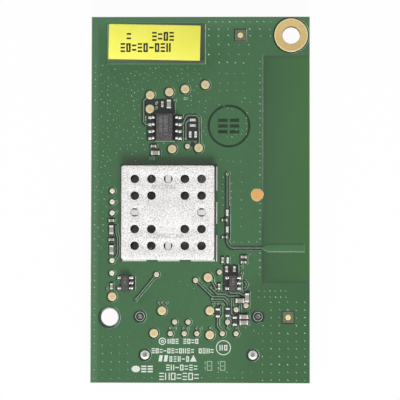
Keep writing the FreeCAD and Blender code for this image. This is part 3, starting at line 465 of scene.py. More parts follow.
def mould_look(name, dark, light, speck):
    """Moulded epoxy: matt, with pale filler specks, and painted shade on faces turned sideways."""
    look = Look(name, 0.6)
    grain = look.noise(5.0, 4.0, 0.75)
    clouds = look.noise(0.8)
    colour = look.lay(dark, light, clouds, *MIDDLE)
    colour = look.lay(colour, speck, grain, 0.5, 0.66, 0.75)
    # Painted shade: faces turned towards the left or right are painted near black.
    sideways = look.maths("ABSOLUTE", look.facing("X"), 0.0)
    colour = look.lay(colour, (26, 24, 24), sideways, 0.25, 0.45)
    look.bump(grain, 0.012)
    return look.finish(colour, look.span(grain, *MIDDLE, 0.52, 0.68))


def solder_look(name, dark, light, steep_shade=(66, 64, 60), steep=(0.15, 0.7)):
    """Reflowed solder: bright and grey in clouds and grain, with painted shade wherever it falls away
    steeply.
    """
    look = Look(name, metallic=0.6)
    clouds = look.noise(2.2, 4.0, 0.6)
    fine = look.noise(8.0)
    colour = look.lay(dark, light, clouds, 0.32, 0.68)
    colour = look.lay(colour, (150, 148, 142), fine, 0.4, 0.7, 0.25)
    # Painted shade: faces that fall away steeply are painted dark.
    colour = look.mix(look.fade(look.facing("Z"), *steep, 0.85), colour, steep_shade)
    look.bump(fine, 0.005)
    return look.finish(colour, look.span(clouds, *MIDDLE, 0.25, 0.45))


def ceramic_look(name, dark, light):
    """Fired ceramic or glaze of a small chip part."""
    return mottled(name, dark, light, 1.5, 11.0, (0.32, 0.5))


def label_look():
    """Yellow coated paper with a faint fibre."""
    look = Look("label_paper", 0.55)
    fibre = look.noise(4.0, 4.0, 0.65, (1.0, 0.5, 1.0))
    clouds = look.noise(0.25)
    colour = look.lay((246, 242, 86), (251, 248, 100), clouds, *MIDDLE)
    colour = look.lay(colour, (253, 251, 124), fibre, 0.45, 0.75, 0.35)
    look.bump(fibre, 0.003)
    return look.finish(colour, look.span(fibre, *MIDDLE, 0.5, 0.62))


def lacquer_look():
    """Orange inspection lacquer, thinner and paler at its rim."""
    look = Look("inspection_lacquer", 0.3)
    z = look.axis("Z")
    clouds = look.noise(1.4, 3.0, 0.6)
    body = look.lay((219, 160, 88), (226, 172, 100), clouds, *MIDDLE)
    colour = look.lay((228, 205, 160), body, z, TOP + 0.009, TOP + 0.024)
    look.bump(clouds, 0.003)
    return look.finish(colour, look.span(clouds, *MIDDLE, 0.24, 0.4))


def plastic_look():
    """Glass-filled connector plastic, paler on the tips of its pegs."""
    look = Look("connector_plastic", 0.5)
    grain = look.noise(5.0, 4.0, 0.65, (1.0, 0.5, 1.0))
    clouds = look.noise(0.5)
    colour = look.lay((70, 72, 72), (84, 86, 85), clouds, *MIDDLE)
    colour = look.lay(colour, (118, 119, 117), grain, 0.5, 0.75, 0.55)
    tip = look.lay((74, 76, 76), (154, 156, 154), look.noise(1.7), 0.4, 0.6)
    tips = node_box("connector_housing")[1].z
    colour = look.lay(colour, tip, look.axis("Z"), tips - 0.06, tips - 0.02)
    look.bump(grain, 0.006)
    return look.finish(colour, look.span(grain, *MIDDLE, 0.42, 0.6))


# Mesh helpers

def add_object(name, data):
    """A new object in the scene."""
    thing = bpy.data.objects.new(name, data)
    bpy.context.scene.collection.objects.link(thing)
    return thing


def make_piece(name, bm, looks, replaces=(), sharp=32):
    """Turns a mesh in millimetres into a piece that rides with the module."""
    bmesh.ops.scale(bm, vec=(MM,) * 3, verts=bm.verts)
    bmesh.ops.recalc_face_normals(bm, faces=bm.faces)
    mesh = bpy.data.meshes.new(name)
    bm.to_mesh(mesh)
    bm.free()
    for look in looks if isinstance(looks, (list, tuple)) else [looks]:
        mesh.materials.append(look)
    mesh.polygons.foreach_set("use_smooth", [True] * len(mesh.polygons))
    mesh.set_sharp_from_angle(angle=math.radians(sharp))
    piece = add_object(name, mesh)
    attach(piece, "root")
    if replaces:
        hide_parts(*replaces)
    return piece


def join_rings(bm, rings, closed_ends=(True, True), closed=False):
    """Quads between rings of equal length; the first and last ring may be capped."""
    made = [[bm.verts.new(point) for point in ring] for ring in rings]
    count = len(made[0])
    pairs = list(zip(made, made[1:]))
    if closed:
        pairs.append((made[-1], made[0]))
    for low, high in pairs:
        for index in range(count):
            following = (index + 1) % count
            bm.faces.new((low[index], low[following], high[following], high[index]))
    if not closed:
        if closed_ends[0]:
            bm.faces.new(made[0][::-1])
        if closed_ends[1]:
            bm.faces.new(made[-1])


def circle(centre, radius, z, segments):
    """Points round a circle at a height."""
    angles = (math.tau * step / segments for step in range(segments))
    return [
        Vector((centre[0] + radius * math.cos(angle), centre[1] + radius * math.sin(angle), z))
        for angle in angles
    ]


def flat_circle(centre, radius, segments):
    """A circle's points without their height, as outlines take them."""
    return [point.xy for point in circle(centre, radius, 0, segments)]


def lathe(bm, centre, profile, segments, closed=False):
    """A turned shape from (radius, height) pairs, capped at its ends or closed on itself."""
    rings = [circle(centre, max(radius, 0.001), z, segments) for radius, z in profile]
    join_rings(bm, rings, closed=closed)


def rounded_ring(low, high, corner, z, steps=3, inset=(0, 0, 0, 0)):
    """A rectangle with rounded corners; inset moves its left, right, lower and upper side in."""
    left, right = low.x + inset[0], high.x - inset[1]
    bottom, top = low.y + inset[2], high.y - inset[3]
    corner = max(min(corner, (right - left) / 2, (top - bottom) / 2), 0.001)
    points = []
    for x, y, start in (
        (right - corner, top - corner, 0), (left + corner, top - corner, 90),
        (left + corner, bottom + corner, 180), (right - corner, bottom + corner, 270),
    ):
        for step in range(steps + 1):
            angle = math.radians(start + 90 * step / steps)
            points.append(Vector((x + corner * math.cos(angle), y + corner * math.sin(angle), z)))
    return points


def soft_block(bm, low, high, edge, corner, steps):
    """A block whose upright corners and upper and lower edges are rounded."""
    angles = [math.radians(90 * step / steps) for step in range(steps + 1)]
    rings = [(edge * (1 - math.sin(angle)), low.z + edge * (1 - math.cos(angle))) for angle in angles]
    rings += [(edge * (1 - math.cos(angle)), high.z - edge * (1 - math.sin(angle))) for angle in angles]
    join_rings(bm, [
        rounded_ring(low, high, corner - inward * 0.5, z, steps, (inward,) * 4) for inward, z in rings
    ])


def stroke_sides(points, closed):
    """Mitre direction at each point of a line, so that an offset keeps its even width."""
    count = len(points)
    sides = []
    for index, point in enumerate(points):
        before = points[(index - 1) % count] if closed or index else None
        after = points[(index + 1) % count] if closed or index < count - 1 else None
        arriving = (point - before).normalized() if before is not None else (after - point).normalized()
        leaving = (after - point).normalized() if after is not None else arriving
        first = Vector((-arriving.y, arriving.x))
        second = Vector((-leaving.y, leaving.x))
        mitre = (first + second).normalized()
        sides.append(mitre / max(mitre.dot(first), 0.3))
    return sides


def strip(bm, points, section, closed=False):
    """Sweeps a closed section of (offset, height) pairs along a flat line of points."""
    points = [Vector(point[:2]) for point in points]
    sides = stroke_sides(points, closed)
    rings = []
    for point, side in zip(points, sides):
        rings.append([Vector((*(point + side * offset), z)) for offset, z in section])
    join_rings(bm, rings, closed=closed)


def stroke(bm, points, width, low, high, closed=False):
    """A printed line."""
    half = width / 2
    strip(bm, points, ((-half, low), (half, low), (half, high), (-half, high)), closed)


def plate(bm, outline, low, high):
    """A flat plate with the given outline."""
    join_rings(bm, [[Vector((point[0], point[1], z)) for point in outline] for z in (low, high)])


# Clearances in the copper pour: each knows its distance and its outlines

SHOULDER = 0.2
SLOT_DEPTH = TOP - SLOT_FLOOR
DISC_SEGMENTS = 36


class Disc:
    """A round clearance."""
    depth, shoulder = SLOT_DEPTH, SHOULDER

    def __init__(self, centre, radius):
        self.centre, self.radius = Vector(centre[:2]), radius

    def distance(self, point):
        return (point - self.centre).length - self.radius

    def outlines(self, inset):
        return [flat_circle(self.centre, self.radius - inset, DISC_SEGMENTS)]


class Window:
    """A rectangular clearance with rounded corners."""

    def __init__(self, low, high, corner=0.1, depth=SLOT_DEPTH, shoulder=SHOULDER):
        self.low, self.high, self.corner = Vector((*low[:2], 0)), Vector((*high[:2], 0)), corner
        self.depth, self.shoulder = depth, shoulder

    def distance(self, point):
        centre = (self.low + self.high).xy / 2
        half = (self.high - self.low).xy / 2
        out_x = abs(point.x - centre.x) - half.x + self.corner
        out_y = abs(point.y - centre.y) - half.y + self.corner
        outside = Vector((max(out_x, 0), max(out_y, 0))).length
        return outside + min(max(out_x, out_y), 0) - self.corner

    def outlines(self, inset):
        ring = rounded_ring(self.low, self.high, self.corner - inset, 0, 2, (inset,) * 4)
        return [[point.xy for point in ring]]


class Slot:
    """A clearance that follows a line, of a given half width."""
    depth, shoulder = SLOT_DEPTH, SHOULDER

    def __init__(self, points, half):
        self.points, self.half = [Vector(point[:2]) for point in points], half

    def distance(self, point):
        nearest = []
        for first, second in zip(self.points, self.points[1:]):
            along = second - first
            share = min(max((point - first).dot(along) / along.length_squared, 0), 1)
            nearest.append((point - first - along * share).length)
        return min(nearest) - self.half

    def outlines(self, inset):
        loops = []
        radius = self.half - inset
        for first, second in zip(self.points, self.points[1:]):
            heading = math.atan2(second.y - first.y, second.x - first.x)
            loop = []
            for end, start in ((second, -90), (first, 90)):
                for step in range(7):
                    angle = heading + math.radians(start + 30 * step)
                    loop.append(end + Vector((math.cos(angle), math.sin(angle))) * radius)
            loops.append(loop)
        return loops


def sunk(clearances, point):
    """How far the face lies below the pour's level at a point."""
    deepest = 0.0
    for item in clearances:
        inside = -item.distance(point)
        if inside <= 0:
            continue
        deepest = max(deepest, item.depth * min(inside / item.shoulder, 1))
    return deepest


# What the component face carries: traces, pads, windows

RIGHT_REGULATOR = spot(26.05, 48.8)
LEFT_REGULATOR = spot(6.35, 48.8)
MEMORY = spot(13.55, 20.45)
TRACE_WIDTH = 0.22
RADIO_WIDTH = 0.36
RADIO_LEFT = 24.95
TRACE_GAP = 0.12
RADIO_GAP = 0.12

# Signal traces: to the right of and below the middle of the chip that they leave
TRACES = (
    (MEMORY, (
        ((-2.75, -6.05), (-3.5, -5.5), (-3.95, -5.0), (-3.95, -1.1), (-3.5, -0.65), (-2.7, -0.65)),
        ((2.7, -0.65), (3.25, -0.65), (3.7, -1.85), (4.1, -2.3), (5.75, -2.3), (6.2, -1.85), (6.3, 2.2),
         (6.15, 3.65)),
        ((4.6, -1.45), (4.25, -1.4), (3.8, -0.9), (3.8, 2.0)),
    )),
    (LEFT_REGULATOR, (((5.7, -1.55), (1.9, 3.0)),)),
    (RIGHT_REGULATOR, (
        ((-6.85, -0.5), (-3.8, 2.45), (-1.6, 2.45), (-1.0, 3.0)),
        ((-4.05, 0.8), (-3.7, 1.25), (-2.9, 2.0), (-1.4, 2.0), (-0.95, 2.35), (0.7, 2.35)),
        ((-0.8, 1.35), (-0.5, 1.8), (1.05, 1.8), (2.15, 2.35)),
        ((-4.6, -1.0), (-3.7, 0.0), (-3.1, 1.15)),
        ((-0.3, 2.95), (-0.3, 5.5), (0.15, 5.9)),
        ((-3.85, 2.95), (-1.8, 2.95), (-1.05, 3.7), (-1.05, 4.7)),
        ((-2.85, 6.1), (-2.85, 7.9), (-2.2, 8.7), (-1.95, 9.2)),
        ((-1.0, 6.1), (-1.0, 8.25)),
    )),
)


def trace_lines():
    """Every signal trace as a line of places on the board."""
    return [
        [Vector((datum.x + right, datum.y - below)) for right, below in offsets]
        for datum, lines in TRACES for offsets in lines
    ]


def radio_line():
    """Down beside the shield, round a bend and across to the antenna."""
    x, top = spot(RADIO_LEFT, 28.9)
    feed = spot(0, 42.4).y
    bend = 1.3
    points = [Vector((x, top))]
    for step in range(7):
        angle = math.radians(15 * step)
        points.append(Vector((x + bend - bend * math.cos(angle), feed + bend - bend * math.sin(angle))))
    points.append(Vector((node_box("antenna_element")[0].x + 0.05, feed)))
    return points


# Short traces between the parts, from the board's left and top edges
STUBS = (
    ((3.9, 44.6), (4.6, 44.1), (4.9, 43.5), (4.9, 40.6), (4.6, 39.6), (4.6, 38.3)),
    ((23.75, 53.0), (23.75, 54.6)), ((27.2, 52.9), (27.2, 54.1)), ((22.3, 47.9), (22.3, 49.0)),
    ((28.1, 48.4), (28.5, 49.1), (28.1, 49.7)),
)


def stubs():
    """Every short trace as a line of places on the board."""
    return [[spot(*place) for place in line] for line in STUBS]


ROUND_PADS = islands("large_test_pads") + islands("small_test_pads")
MARKS = islands("alignment_marks")
SOLDER_PADS = islands("solder_pads")
END_CAPS = islands("chip_end_caps")
ANCHOR_JOINTS = islands("anchor_solder")
UPPER_HOLE = middle(node_box("screw_hole_ring"))
LOWER_HOLE = spot(3.45, 55.05)
PEG_HOLES = (spot(9.05, 54.9), spot(30.55, 54.9))
SCREW_RADIUS = 1.6
PEG_HOLE_RADIUS = 0.7
ANCHOR_HOLE_RADIUS = 0.45

# Vias with rings of their own, from the board's left and top edges
RING_VIAS = (
    (4.58, 33.9), (4.58, 35.8), (12.1, 15.76), (12.05, 16.64), (15.31, 15.38), (3.07, 49.82),
    (12.43, 52.41), (13.12, 52.41), (13.8, 52.41), (14.54, 57.05), (15.33, 57.05), (16.97, 57.07),
    (17.7, 57.07), (19.37, 57.07), (20.06, 57.07), (21.83, 57.0), (27.57, 45.78), (27.56, 47.05),
    (22.4, 52.6), (23.24, 52.62), (24.1, 52.61), (26.62, 57.03),
)

# Windows round groups of parts: left, top, right and bottom, from the board's corner
GROUP_WINDOWS = (
    (9.75, 15.0, 15.45, 18.3), (10.1, 17.9, 16.95, 22.9), (17.4, 18.3, 19.6, 22.9), (18.2, 22.9, 19.1, 24.0),
    (6.95, 47.4, 8.3, 50.3), (24.35, 34.7, 25.6, 41.0), (23.9, 36.8, 25.5, 37.8), (23.9, 39.9, 25.5, 40.9),
    (24.1, 45.3, 27.15, 50.3), (26.0, 54.2, 28.8, 56.4),
)
CHIP_NODES = ("capacitor_bodies", "resistor_bodies", "radio_line_parts")
LEAD_NODES = ("memory_leads", "left_regulator_leads", "right_regulator_leads")


# How far the pour stays away: margins round an outline, then radii round a middle
PAD_GAP, SOLDER_GAP, CHIP_GAP, MARK_GAP = 0.31, 0.24, 0.26, 1.2
ANCHOR_REACH, PEG_REACH, LOWER_REACH, UPPER_REACH = 1.24, 1.26, 2.1, 3.4
VIA_REACH, TRACE_END_REACH, RADIO_END_REACH = 0.43, 0.48, 0.6


def grown(low, high, margin, corner=0.12):
    """A window that reaches out from a box by a margin."""
    reach = Vector((margin, margin, 0))
    return Window(low - reach, high + reach, corner)


def windows():
    """Every clearance in the pour on the component face."""
    found = [Disc(middle(box), (box[1].x - box[0].x) / 2 + PAD_GAP) for box in ROUND_PADS]
    found += [grown(*box, SOLDER_GAP) for box in SOLDER_PADS]
    found += [grown(*box, CHIP_GAP) for name in CHIP_NODES for box in islands(name)]
    found += [Window(spot(left, bottom), spot(right, top), 0.2) for left, top, right, bottom in GROUP_WINDOWS]
    found += [grown(middle(box), middle(box), MARK_GAP, 0.1) for box in MARKS]
    found += [Disc(middle(box), ANCHOR_REACH) for box in ANCHOR_JOINTS]
    found += [Disc(peg, PEG_REACH) for peg in PEG_HOLES]
    found += [Disc(LOWER_HOLE, LOWER_REACH), Disc(UPPER_HOLE, UPPER_REACH)]
    found += [Disc(spot(left, top), VIA_REACH) for left, top in RING_VIAS]
    for line in trace_lines():
        found.append(Slot(line, TRACE_WIDTH / 2 + TRACE_GAP + SHOULDER))
        found += [Disc(end, TRACE_END_REACH) for end in (line[0], line[-1])]
    found += [Slot(line, TRACE_WIDTH / 2 + TRACE_GAP + SHOULDER) for line in stubs()]
    radio = radio_line()
    found.append(Slot(radio, RADIO_WIDTH / 2 + RADIO_GAP + SHOULDER))
    found.append(Disc(radio[0], RADIO_END_REACH))
    depth = TOP - ZONE_LEVEL
    past_edge = 42.0
    left, right, top, bottom = LABEL_WINDOW
    found.append(Window(spot(ZONE_LEFT, ZONE_BOTTOM), spot(past_edge, ZONE_TOP), 0.05, depth, 0.3))
    found.append(Window(spot(left, bottom), spot(right, top), 0.05, depth, 0.2))
    return found


# Width and fall of the board's softened edge
EDGE = 0.1
EDGE_DROP = 0.07
HOLE_SEGMENTS = 48


def holes():
    """Every hole through the board, as centre and radius."""
    return [
        (UPPER_HOLE, SCREW_RADIUS + 0.05), (LOWER_HOLE, SCREW_RADIUS),
        *((peg, PEG_HOLE_RADIUS) for peg in PEG_HOLES),
        *((middle(box), ANCHOR_HOLE_RADIUS) for box in ANCHOR_JOINTS),
    ]


def triangles(points, edges, nearness, keep):
    """The plane between edges as triangles: its points, and the triangles whose middle is kept."""
    flat, _, faces, *_ = geometry.delaunay_2d_cdt(points, edges, [], 0, nearness)
    middles = [sum((flat[index] for index in face), Vector((0, 0))) / len(face) for face in faces]
    return flat, [face for face, centre in zip(faces, middles) if keep(centre)]


def planar_sheet(bm, loops, z_at, keep):
    """Fills the plane between loops with triangles, at the height that each point has."""
    points = []
    edges = []
    for loop in loops:
        first = len(points)
        points.extend(Vector(point) for point in loop)
        edges.extend((first + index, first + (index + 1) % len(loop)) for index in range(len(loop)))
    flat, faces = triangles(points, edges, 1e-5, keep)
    verts = {}
    for face in faces:
        for index in face:
            if index not in verts:
                verts[index] = bm.verts.new((*flat[index], z_at(flat[index])))
        bm.faces.new([verts[index] for index in face])


def sides_and_back(bm, keep):
    """Cut sides from the sheet's open edges down to the back, and a plain sheet between them."""
    border = [edge for edge in bm.edges if edge.is_boundary]
    under = {vert: bm.verts.new((vert.co.x, vert.co.y, BACK)) for edge in border for vert in edge.verts}
    for edge in border:
        first, second = edge.verts
        bm.faces.new((first, second, under[second], under[first])).material_index = 1
    index_of = {vert: index for index, vert in enumerate(under.values())}
    edges = [tuple(index_of[under[vert]] for vert in edge.verts) for edge in border]
    flat, faces = triangles([vert.co.xy for vert in index_of], edges, 1e-7, keep)
    placed = {(round(vert.co.x, 4), round(vert.co.y, 4)): vert for vert in index_of}
    for face in faces:
        corners = [placed[(round(flat[index].x, 4), round(flat[index].y, 4))] for index in face]
        if len(set(corners)) == 3:
            bm.faces.new(corners).material_index = 2


def circuit_board(looks):
    """The board in one skin: relief on its face, cut sides, lined holes and a plain back."""
    clearances = windows()
    rim = Window(BOARD_LOW, BOARD_HIGH, 0.02)
    drilled = holes()
    loops = rim.outlines(0) + rim.outlines(EDGE)
    for item in clearances:
        loops += item.outlines(0) + item.outlines(item.shoulder)
    loops += [flat_circle(centre, radius, HOLE_SEGMENTS) for centre, radius in drilled]

    def keep(point):
        return rim.distance(point) < 1e-4 and all(
            (point - Vector(centre[:2])).length > radius for centre, radius in drilled
        )

    def z_at(point):
        near_edge = max(0.0, 1 + rim.distance(point) / EDGE)
        return TOP - max(sunk(clearances, point), EDGE_DROP * near_edge)

    bm = bmesh.new()
    planar_sheet(bm, loops, z_at, keep)
    sides_and_back(bm, keep)
    make_piece("circuit_board_skin", bm, looks, ("circuit_board",), sharp=14)


def masked_strip(bm, line, width):
    """One trace that stands in its slot, with soft shoulders."""
    half = width / 2
    soft = 0.05
    crest = TOP - 0.012
    strip(bm, line, (
        (-half - 0.02, FOOT), (half + 0.02, FOOT),
        (half, crest - 0.02), (half - soft, crest), (-half + soft, crest), (-half, crest - 0.02),
    ))


def signal_traces(looks):
    """The signal traces, the darker radio line, and short stubs between the parts."""
    bm = bmesh.new()
    for line in trace_lines():
        masked_strip(bm, line, TRACE_WIDTH)
    plain = set(bm.faces)
    masked_strip(bm, radio_line(), RADIO_WIDTH)
    for face in set(bm.faces) - plain:
        face.material_index = 1
    make_piece("masked_traces", bm, looks, ("signal_traces",))
    bm = bmesh.new()
    for line in stubs():
        masked_strip(bm, line, TRACE_WIDTH)
    make_piece("masked_stubs", bm, looks[0])


def via_ring(bm, centre, reach):
    """A ring of masked copper round a filled hole."""
    lathe(bm, centre, (
        (0, TOP - 0.008), (reach * 0.35, TOP - 0.006), (reach * 0.5, TOP + 0.012),
        (reach * 0.85, TOP + 0.015), (reach, TOP - 0.01), (reach, FOOT), (0, FOOT),
    ), 18)


def trace_ends():
    """Where a trace ends in a via, away from any pad."""
    pads = ROUND_PADS + SOLDER_PADS
    ends = [radio_line()[0]]
    for line in trace_lines():
        for end in (line[0], line[-1]):
            if all(
                not (low.x - 0.2 < end.x < high.x + 0.2 and low.y - 0.2 < end.y < high.y + 0.2)
                for low, high in pads
            ):
                ends.append(end)
    return ends


def antenna_element(look):
    """The printed patch in the bare strip, with a fine shoulder all round."""
    low, high = node_box("antenna_element")
    feed = (low.y + high.y) / 2
    taper = 1.1
    line = RADIO_WIDTH / 2
    bm = bmesh.new()
    rings = []
    for inset, z in ((0, FLOOR - 0.01), (0, TOP - 0.03), (0.07, TOP - 0.008), (0.14, TOP)):
        rings.append([Vector(point) for point in (
            (low.x, feed - line + inset / 2, z), (low.x + taper, low.y + inset, z),
            (high.x - inset, low.y + inset, z), (high.x - inset, high.y - inset, z),
            (low.x + taper, high.y - inset, z), (low.x, feed + line - inset / 2, z),
        )])
    join_rings(bm, rings)
    make_piece("antenna_patch", bm, look, ("antenna_element",), sharp=10)


def bare_marks(look):
    """Bare laminate in the windows of the alignment marks."""
    bm = bmesh.new()
    for box in MARKS:
        window = grown(middle(box), middle(box), 1.0, 0.05)
        plate(bm, window.outlines(0)[0], FOOT, SLOT_FLOOR + 0.008)
    make_piece("bare_laminate_marks", bm, look)


def pad_profile(radius, low, high, rim):
    """A flat middle, a rim that stands a little higher, and a rounded outer edge."""
    return (
        (0, high - 0.008), (radius - rim - 0.2, high - 0.008), (radius - rim, high),
        (radius - 0.04, high), (radius - 0.015, high - 0.01), (radius, high - 0.03), (radius, low), (0, low),
    )


def gold_pads(large_look, small_look, mark_look):
    """Round test pads of two sizes and the alignment marks."""
    for name, look, replaced, segments, rim in (
        ("gold_pads_large", large_look, "large_test_pads", 40, 0.3),
        ("gold_pads_small", small_look, "small_test_pads", 28, 0.26),
        ("gold_marks", mark_look, "alignment_marks", 28, 0.1),
    ):
        bm = bmesh.new()
        for box in islands(replaced):
            radius = (box[1].y - box[0].y) / 2
            lathe(bm, middle(box), pad_profile(radius, FOOT, TOP, rim), segments)
        make_piece(name, bm, look, (replaced,))


def screw_ring(look):
    """The plated ring: a soft outer rim, a flat face, and a lined barrel to the back."""
    low, high = node_box("screw_hole_ring")
    outer = (high.x - low.x) / 2
    bore = SCREW_RADIUS
    bm = bmesh.new()
    lathe(bm, UPPER_HOLE, (
        (bore, low.z + 0.05), (bore + 0.05, low.z), (outer - 0.08, low.z), (outer, low.z + 0.04),
        (outer, BACK + 0.01), (bore + 0.049, BACK + 0.02), (bore + 0.049, FOOT),
        (outer, FOOT), (outer, high.z - 0.035), (outer - 0.04, high.z - 0.006),
        (outer - 0.08, high.z), (outer - 0.2, high.z), (outer - 0.27, high.z - 0.008),
        (bore + 0.12, high.z - 0.008), (bore + 0.03, high.z - 0.02), (bore, high.z - 0.08),
    ), 96, closed=True)
    make_piece("screw_ring", bm, look, ("screw_hole_ring",), sharp=50)


def drilled_rims(look):
    """The drilled rims round the lower hole and the peg holes: a pale lip and a lower land."""
    bm = bmesh.new()
    for centre, radius, land, segments in (
        *((peg, PEG_HOLE_RADIUS, 0.18, 40) for peg in PEG_HOLES), (LOWER_HOLE, SCREW_RADIUS, 0.26, 80),
    ):
        inner = radius + 0.015
        lathe(bm, centre, (
            (inner, FOOT), (inner + land, FOOT), (inner + land - 0.02, SLOT_FLOOR + 0.012),
            (inner + 0.16, SLOT_FLOOR + 0.012), (inner + 0.13, TOP - 0.015), (inner + 0.03, TOP - 0.015),
            (inner, SLOT_FLOOR + 0.005),
        ), segments, closed=True)
    make_piece("drilled_rims", bm, look)


def rim_look():
    """Drilled laminate: a pale lip over a darker land."""
    look = Look("drilled_laminate", 0.5)
    z = look.axis("Z")
    clouds = look.noise(2.0, 4.0, 0.6)
    land = look.lay((70, 90, 74), (104, 124, 106), clouds, 0.35, 0.65)
    lip = look.lay((146, 160, 146), (190, 200, 188), clouds, 0.35, 0.65)
    colour = look.lay(land, lip, z, TOP - 0.035, TOP - 0.02)
    lower_left = look.maths("ADD", look.axis("X"), look.axis("Y"))
    middle_line = LOWER_HOLE.x + LOWER_HOLE.y
    shade = look.fade(lower_left, middle_line - 0.9, middle_line + 0.6, 0.9)
    hole_only = look.fade(look.axis("X"), LOWER_HOLE.x + 2.2, LOWER_HOLE.x + 2.3)
    look.bump(clouds, 0.003)
    return look.finish(look.mix(look.times(shade, hole_only), colour, (42, 52, 43)))


# Vias under the mask

def row(start, step, count):
    """Evenly spaced places, from the board's left and top edges."""
    return [spot(start[0] + step[0] * index, start[1] + step[1] * index) for index in range(count)]


def loose(places, reach):
    """The same places, each moved a little."""
    return [place + Vector((RNG.uniform(-reach, reach), RNG.uniform(-reach, reach))) for place in places]


# Rows of vias along the pour's edges: first place, step and count, from the board's left and top edges
EDGE_VIAS = (
    ((0.74, 8.94), (0, 1.27), 43), ((2.05, 8.94), (1.265, 0), 15), ((21.6, 0.85), (1.256, 0), 10),
    ((30.95, 8.2), (0, 1.3), 31), ((31.45, 48.95), (1.29, 0), 7),
)


def loose_rows():
    """Rows of vias in fields across the pour: first place, step, count and how far each may stray."""
    rows = []
    for top in (2.2, 3.45):
        rows += [((21.6, top), (1.75, 0), 3, 0.06), ((29.1, top), (1.85, 0), 3, 0.08)]
    rows += [((21.6, top), (1.82, 0), 5, 0.06) for top in (5.1, 6.85)]
    rows += [((23.5, top), (1.45, 0), 4, 0.08) for top in (8.4, 10.45)]
    rows += [((23.55, top), (1.45, 0), 4, 0.08) for top in (12.15, 13.6)]
    rows += [
        ((21.7, 12.1), (0.1, 1.4), 3, 0.15), ((27.1, 14.94), (1.1, 0), 2, 0.05),
        ((27.6, 15.7), (1.65, 0), 2, 0.05), ((23.45, 16.2), (0.8, 0.3), 4, 0.12),
        ((28.5, 17.6), (0, 0.98), 6, 0.06), ((26.6, 20.8), (1.15, 0), 2, 0.05),
        ((26.54, 21.56), (1.0, 0), 2, 0.04), ((24.9, 22.05), (0.92, 0), 2, 0.03),
        ((20.95, 17.5), (0.05, 1.35), 4, 0.1),
    ]
    for index in range(11):
        first, count = (31.43, 6) if index > 2 else (32.97, 5)
        rows.append(((first, 52.2 + 1.42 * index), (1.54, 0), count, 0.05))
    rows += [((30.8, top), (0.98, 0), 6, 0.07) for top in (50.2, 51.3)]
    rows += [((0.75, 58.6 + 1.5 * index), (1.53, 0), 5, 0.05) for index in range(6)]
    rows += [((8.35, 65.95), (1.5, 0), 14, 0.08), ((23.4, 64.9), (1.5, 0), 6, 0.1)]
    rows += [
        (start, (0, 1.55), count, 0.12)
        for start, count in (
            ((1.85, 10.6), 6), ((3.1, 11.2), 9), ((4.75, 12.6), 9), ((5.9, 11.5), 8), ((7.9, 12.4), 7),
        )
    ]
    rows += [
        ((5.2, 10.5), (0.98, 0), 6, 0.25), ((9.6, 9.9), (1.6, 0.45), 7, 0.35),
        ((3.1, 26.5), (0.05, 2.0), 3, 0.15), ((6.0, 23.5), (0.7, 0.9), 5, 0.3),
    ]
    rows += [((RADIO_LEFT + side, 29.4), (0, 1.28), 9, 0.08) for side in (-0.78, 0.78)]
    rows += [
        ((27.6, 28.6), (0, 1.65), 7, 0.12), ((22.5, 26.2), (1.2, 0.1), 5, 0.15),
        ((26.2, 41.3), (1.4, 0), 4, 0.08), ((26.2, 43.6), (1.5, 0), 4, 0.15),
        ((16.2, 48.7), (1.25, 0.4), 4, 0.3), ((27.4, 56.0), (1.1, 0.6), 5, 0.3),
        ((1.6, 27.5), (0.35, 1.9), 8, 0.3),
    ]
    for left, top, columns, count in (
        (1.2, 9.9, 9, 14), (10.5, 9.4, 10, 3), (1.2, 25.5, 3, 16), (17.6, 13.2, 4, 8),
    ):
        rows += [((left, top + 1.12 * index), (1.05, 0), columns, 0.36) for index in range(count)]
    return rows


def via_places():
    """Stitching vias along the pour's edges and in fields across it."""
    found = [place for start, step, count in EDGE_VIAS for place in row(start, step, count)]
    for start, step, count, reach in loose_rows():
        found += loose(row(start, step, count), reach)
    return found


VIA_TO_HOLE, VIA_TO_WINDOW, VIA_PITCH = 0.3, 0.22, 0.6


def clear_vias():
    """The vias that meet no hole, window or shield, each well apart from the others."""
    clearances = windows() + [Disc(centre, radius + VIA_TO_HOLE) for centre, radius in holes()]
    clearances.append(Window(*node_box("shield_frame")))
    kept = []
    for place in via_places():
        apart = all(item.distance(place) >= VIA_TO_WINDOW for item in clearances)
        if apart and all((place - other).length >= VIA_PITCH for other in kept):
            kept.append(place)
    return kept


def vias(look):
    """Tented vias: low crowns, larger in the block above the radio line and at the right."""
    bm = bmesh.new()
    wide_left, wide_top = spot(21.0, 10.0)
    field_left = spot(29.5, 0).x
    for place in clear_vias():
        size = RNG.uniform(0.7, 1.0)
        if place.x > wide_left and place.y > wide_top:
            size *= 1.45
        elif place.x > field_left:
            size *= 1.25
        lathe(bm, place, (
            (0, TOP + 0.03), (0.05 * size, TOP + 0.024), (0.11 * size, TOP + 0.008),
            (0.155 * size, TOP - 0.004), (0.15 * size, TOP - 0.02), (0, TOP - 0.02),
        ), 10)
    make_piece("tented_vias", bm, look)


def ring_vias(look):
    """Vias whose rings show through the mask, beside the test points and where traces dive."""
    bm = bmesh.new()
    for left, top in RING_VIAS:
        via_ring(bm, spot(left, top), 0.22)
    radio_end, *others = trace_ends()
    via_ring(bm, radio_end, 0.3)
    for end in others:
        via_ring(bm, end, 0.23)
    make_piece("ring_vias", bm, look)


def ring_look():
    """Mask over a via's ring: a pale crown round a dark dimple."""
    look = Look("masked_ring", 0.3)
    speck = look.noise(1.1)
    crown = look.lay((112, 146, 118), (158, 186, 160), speck, 0.35, 0.65)
    look.bump(speck, 0.001)
    return look.finish(look.lay((34, 50, 38), crown, look.axis("Z"), TOP - 0.003, TOP + 0.007))


# Print and marks. Letters are left out: rows of plain boxes and bars stand in for text.

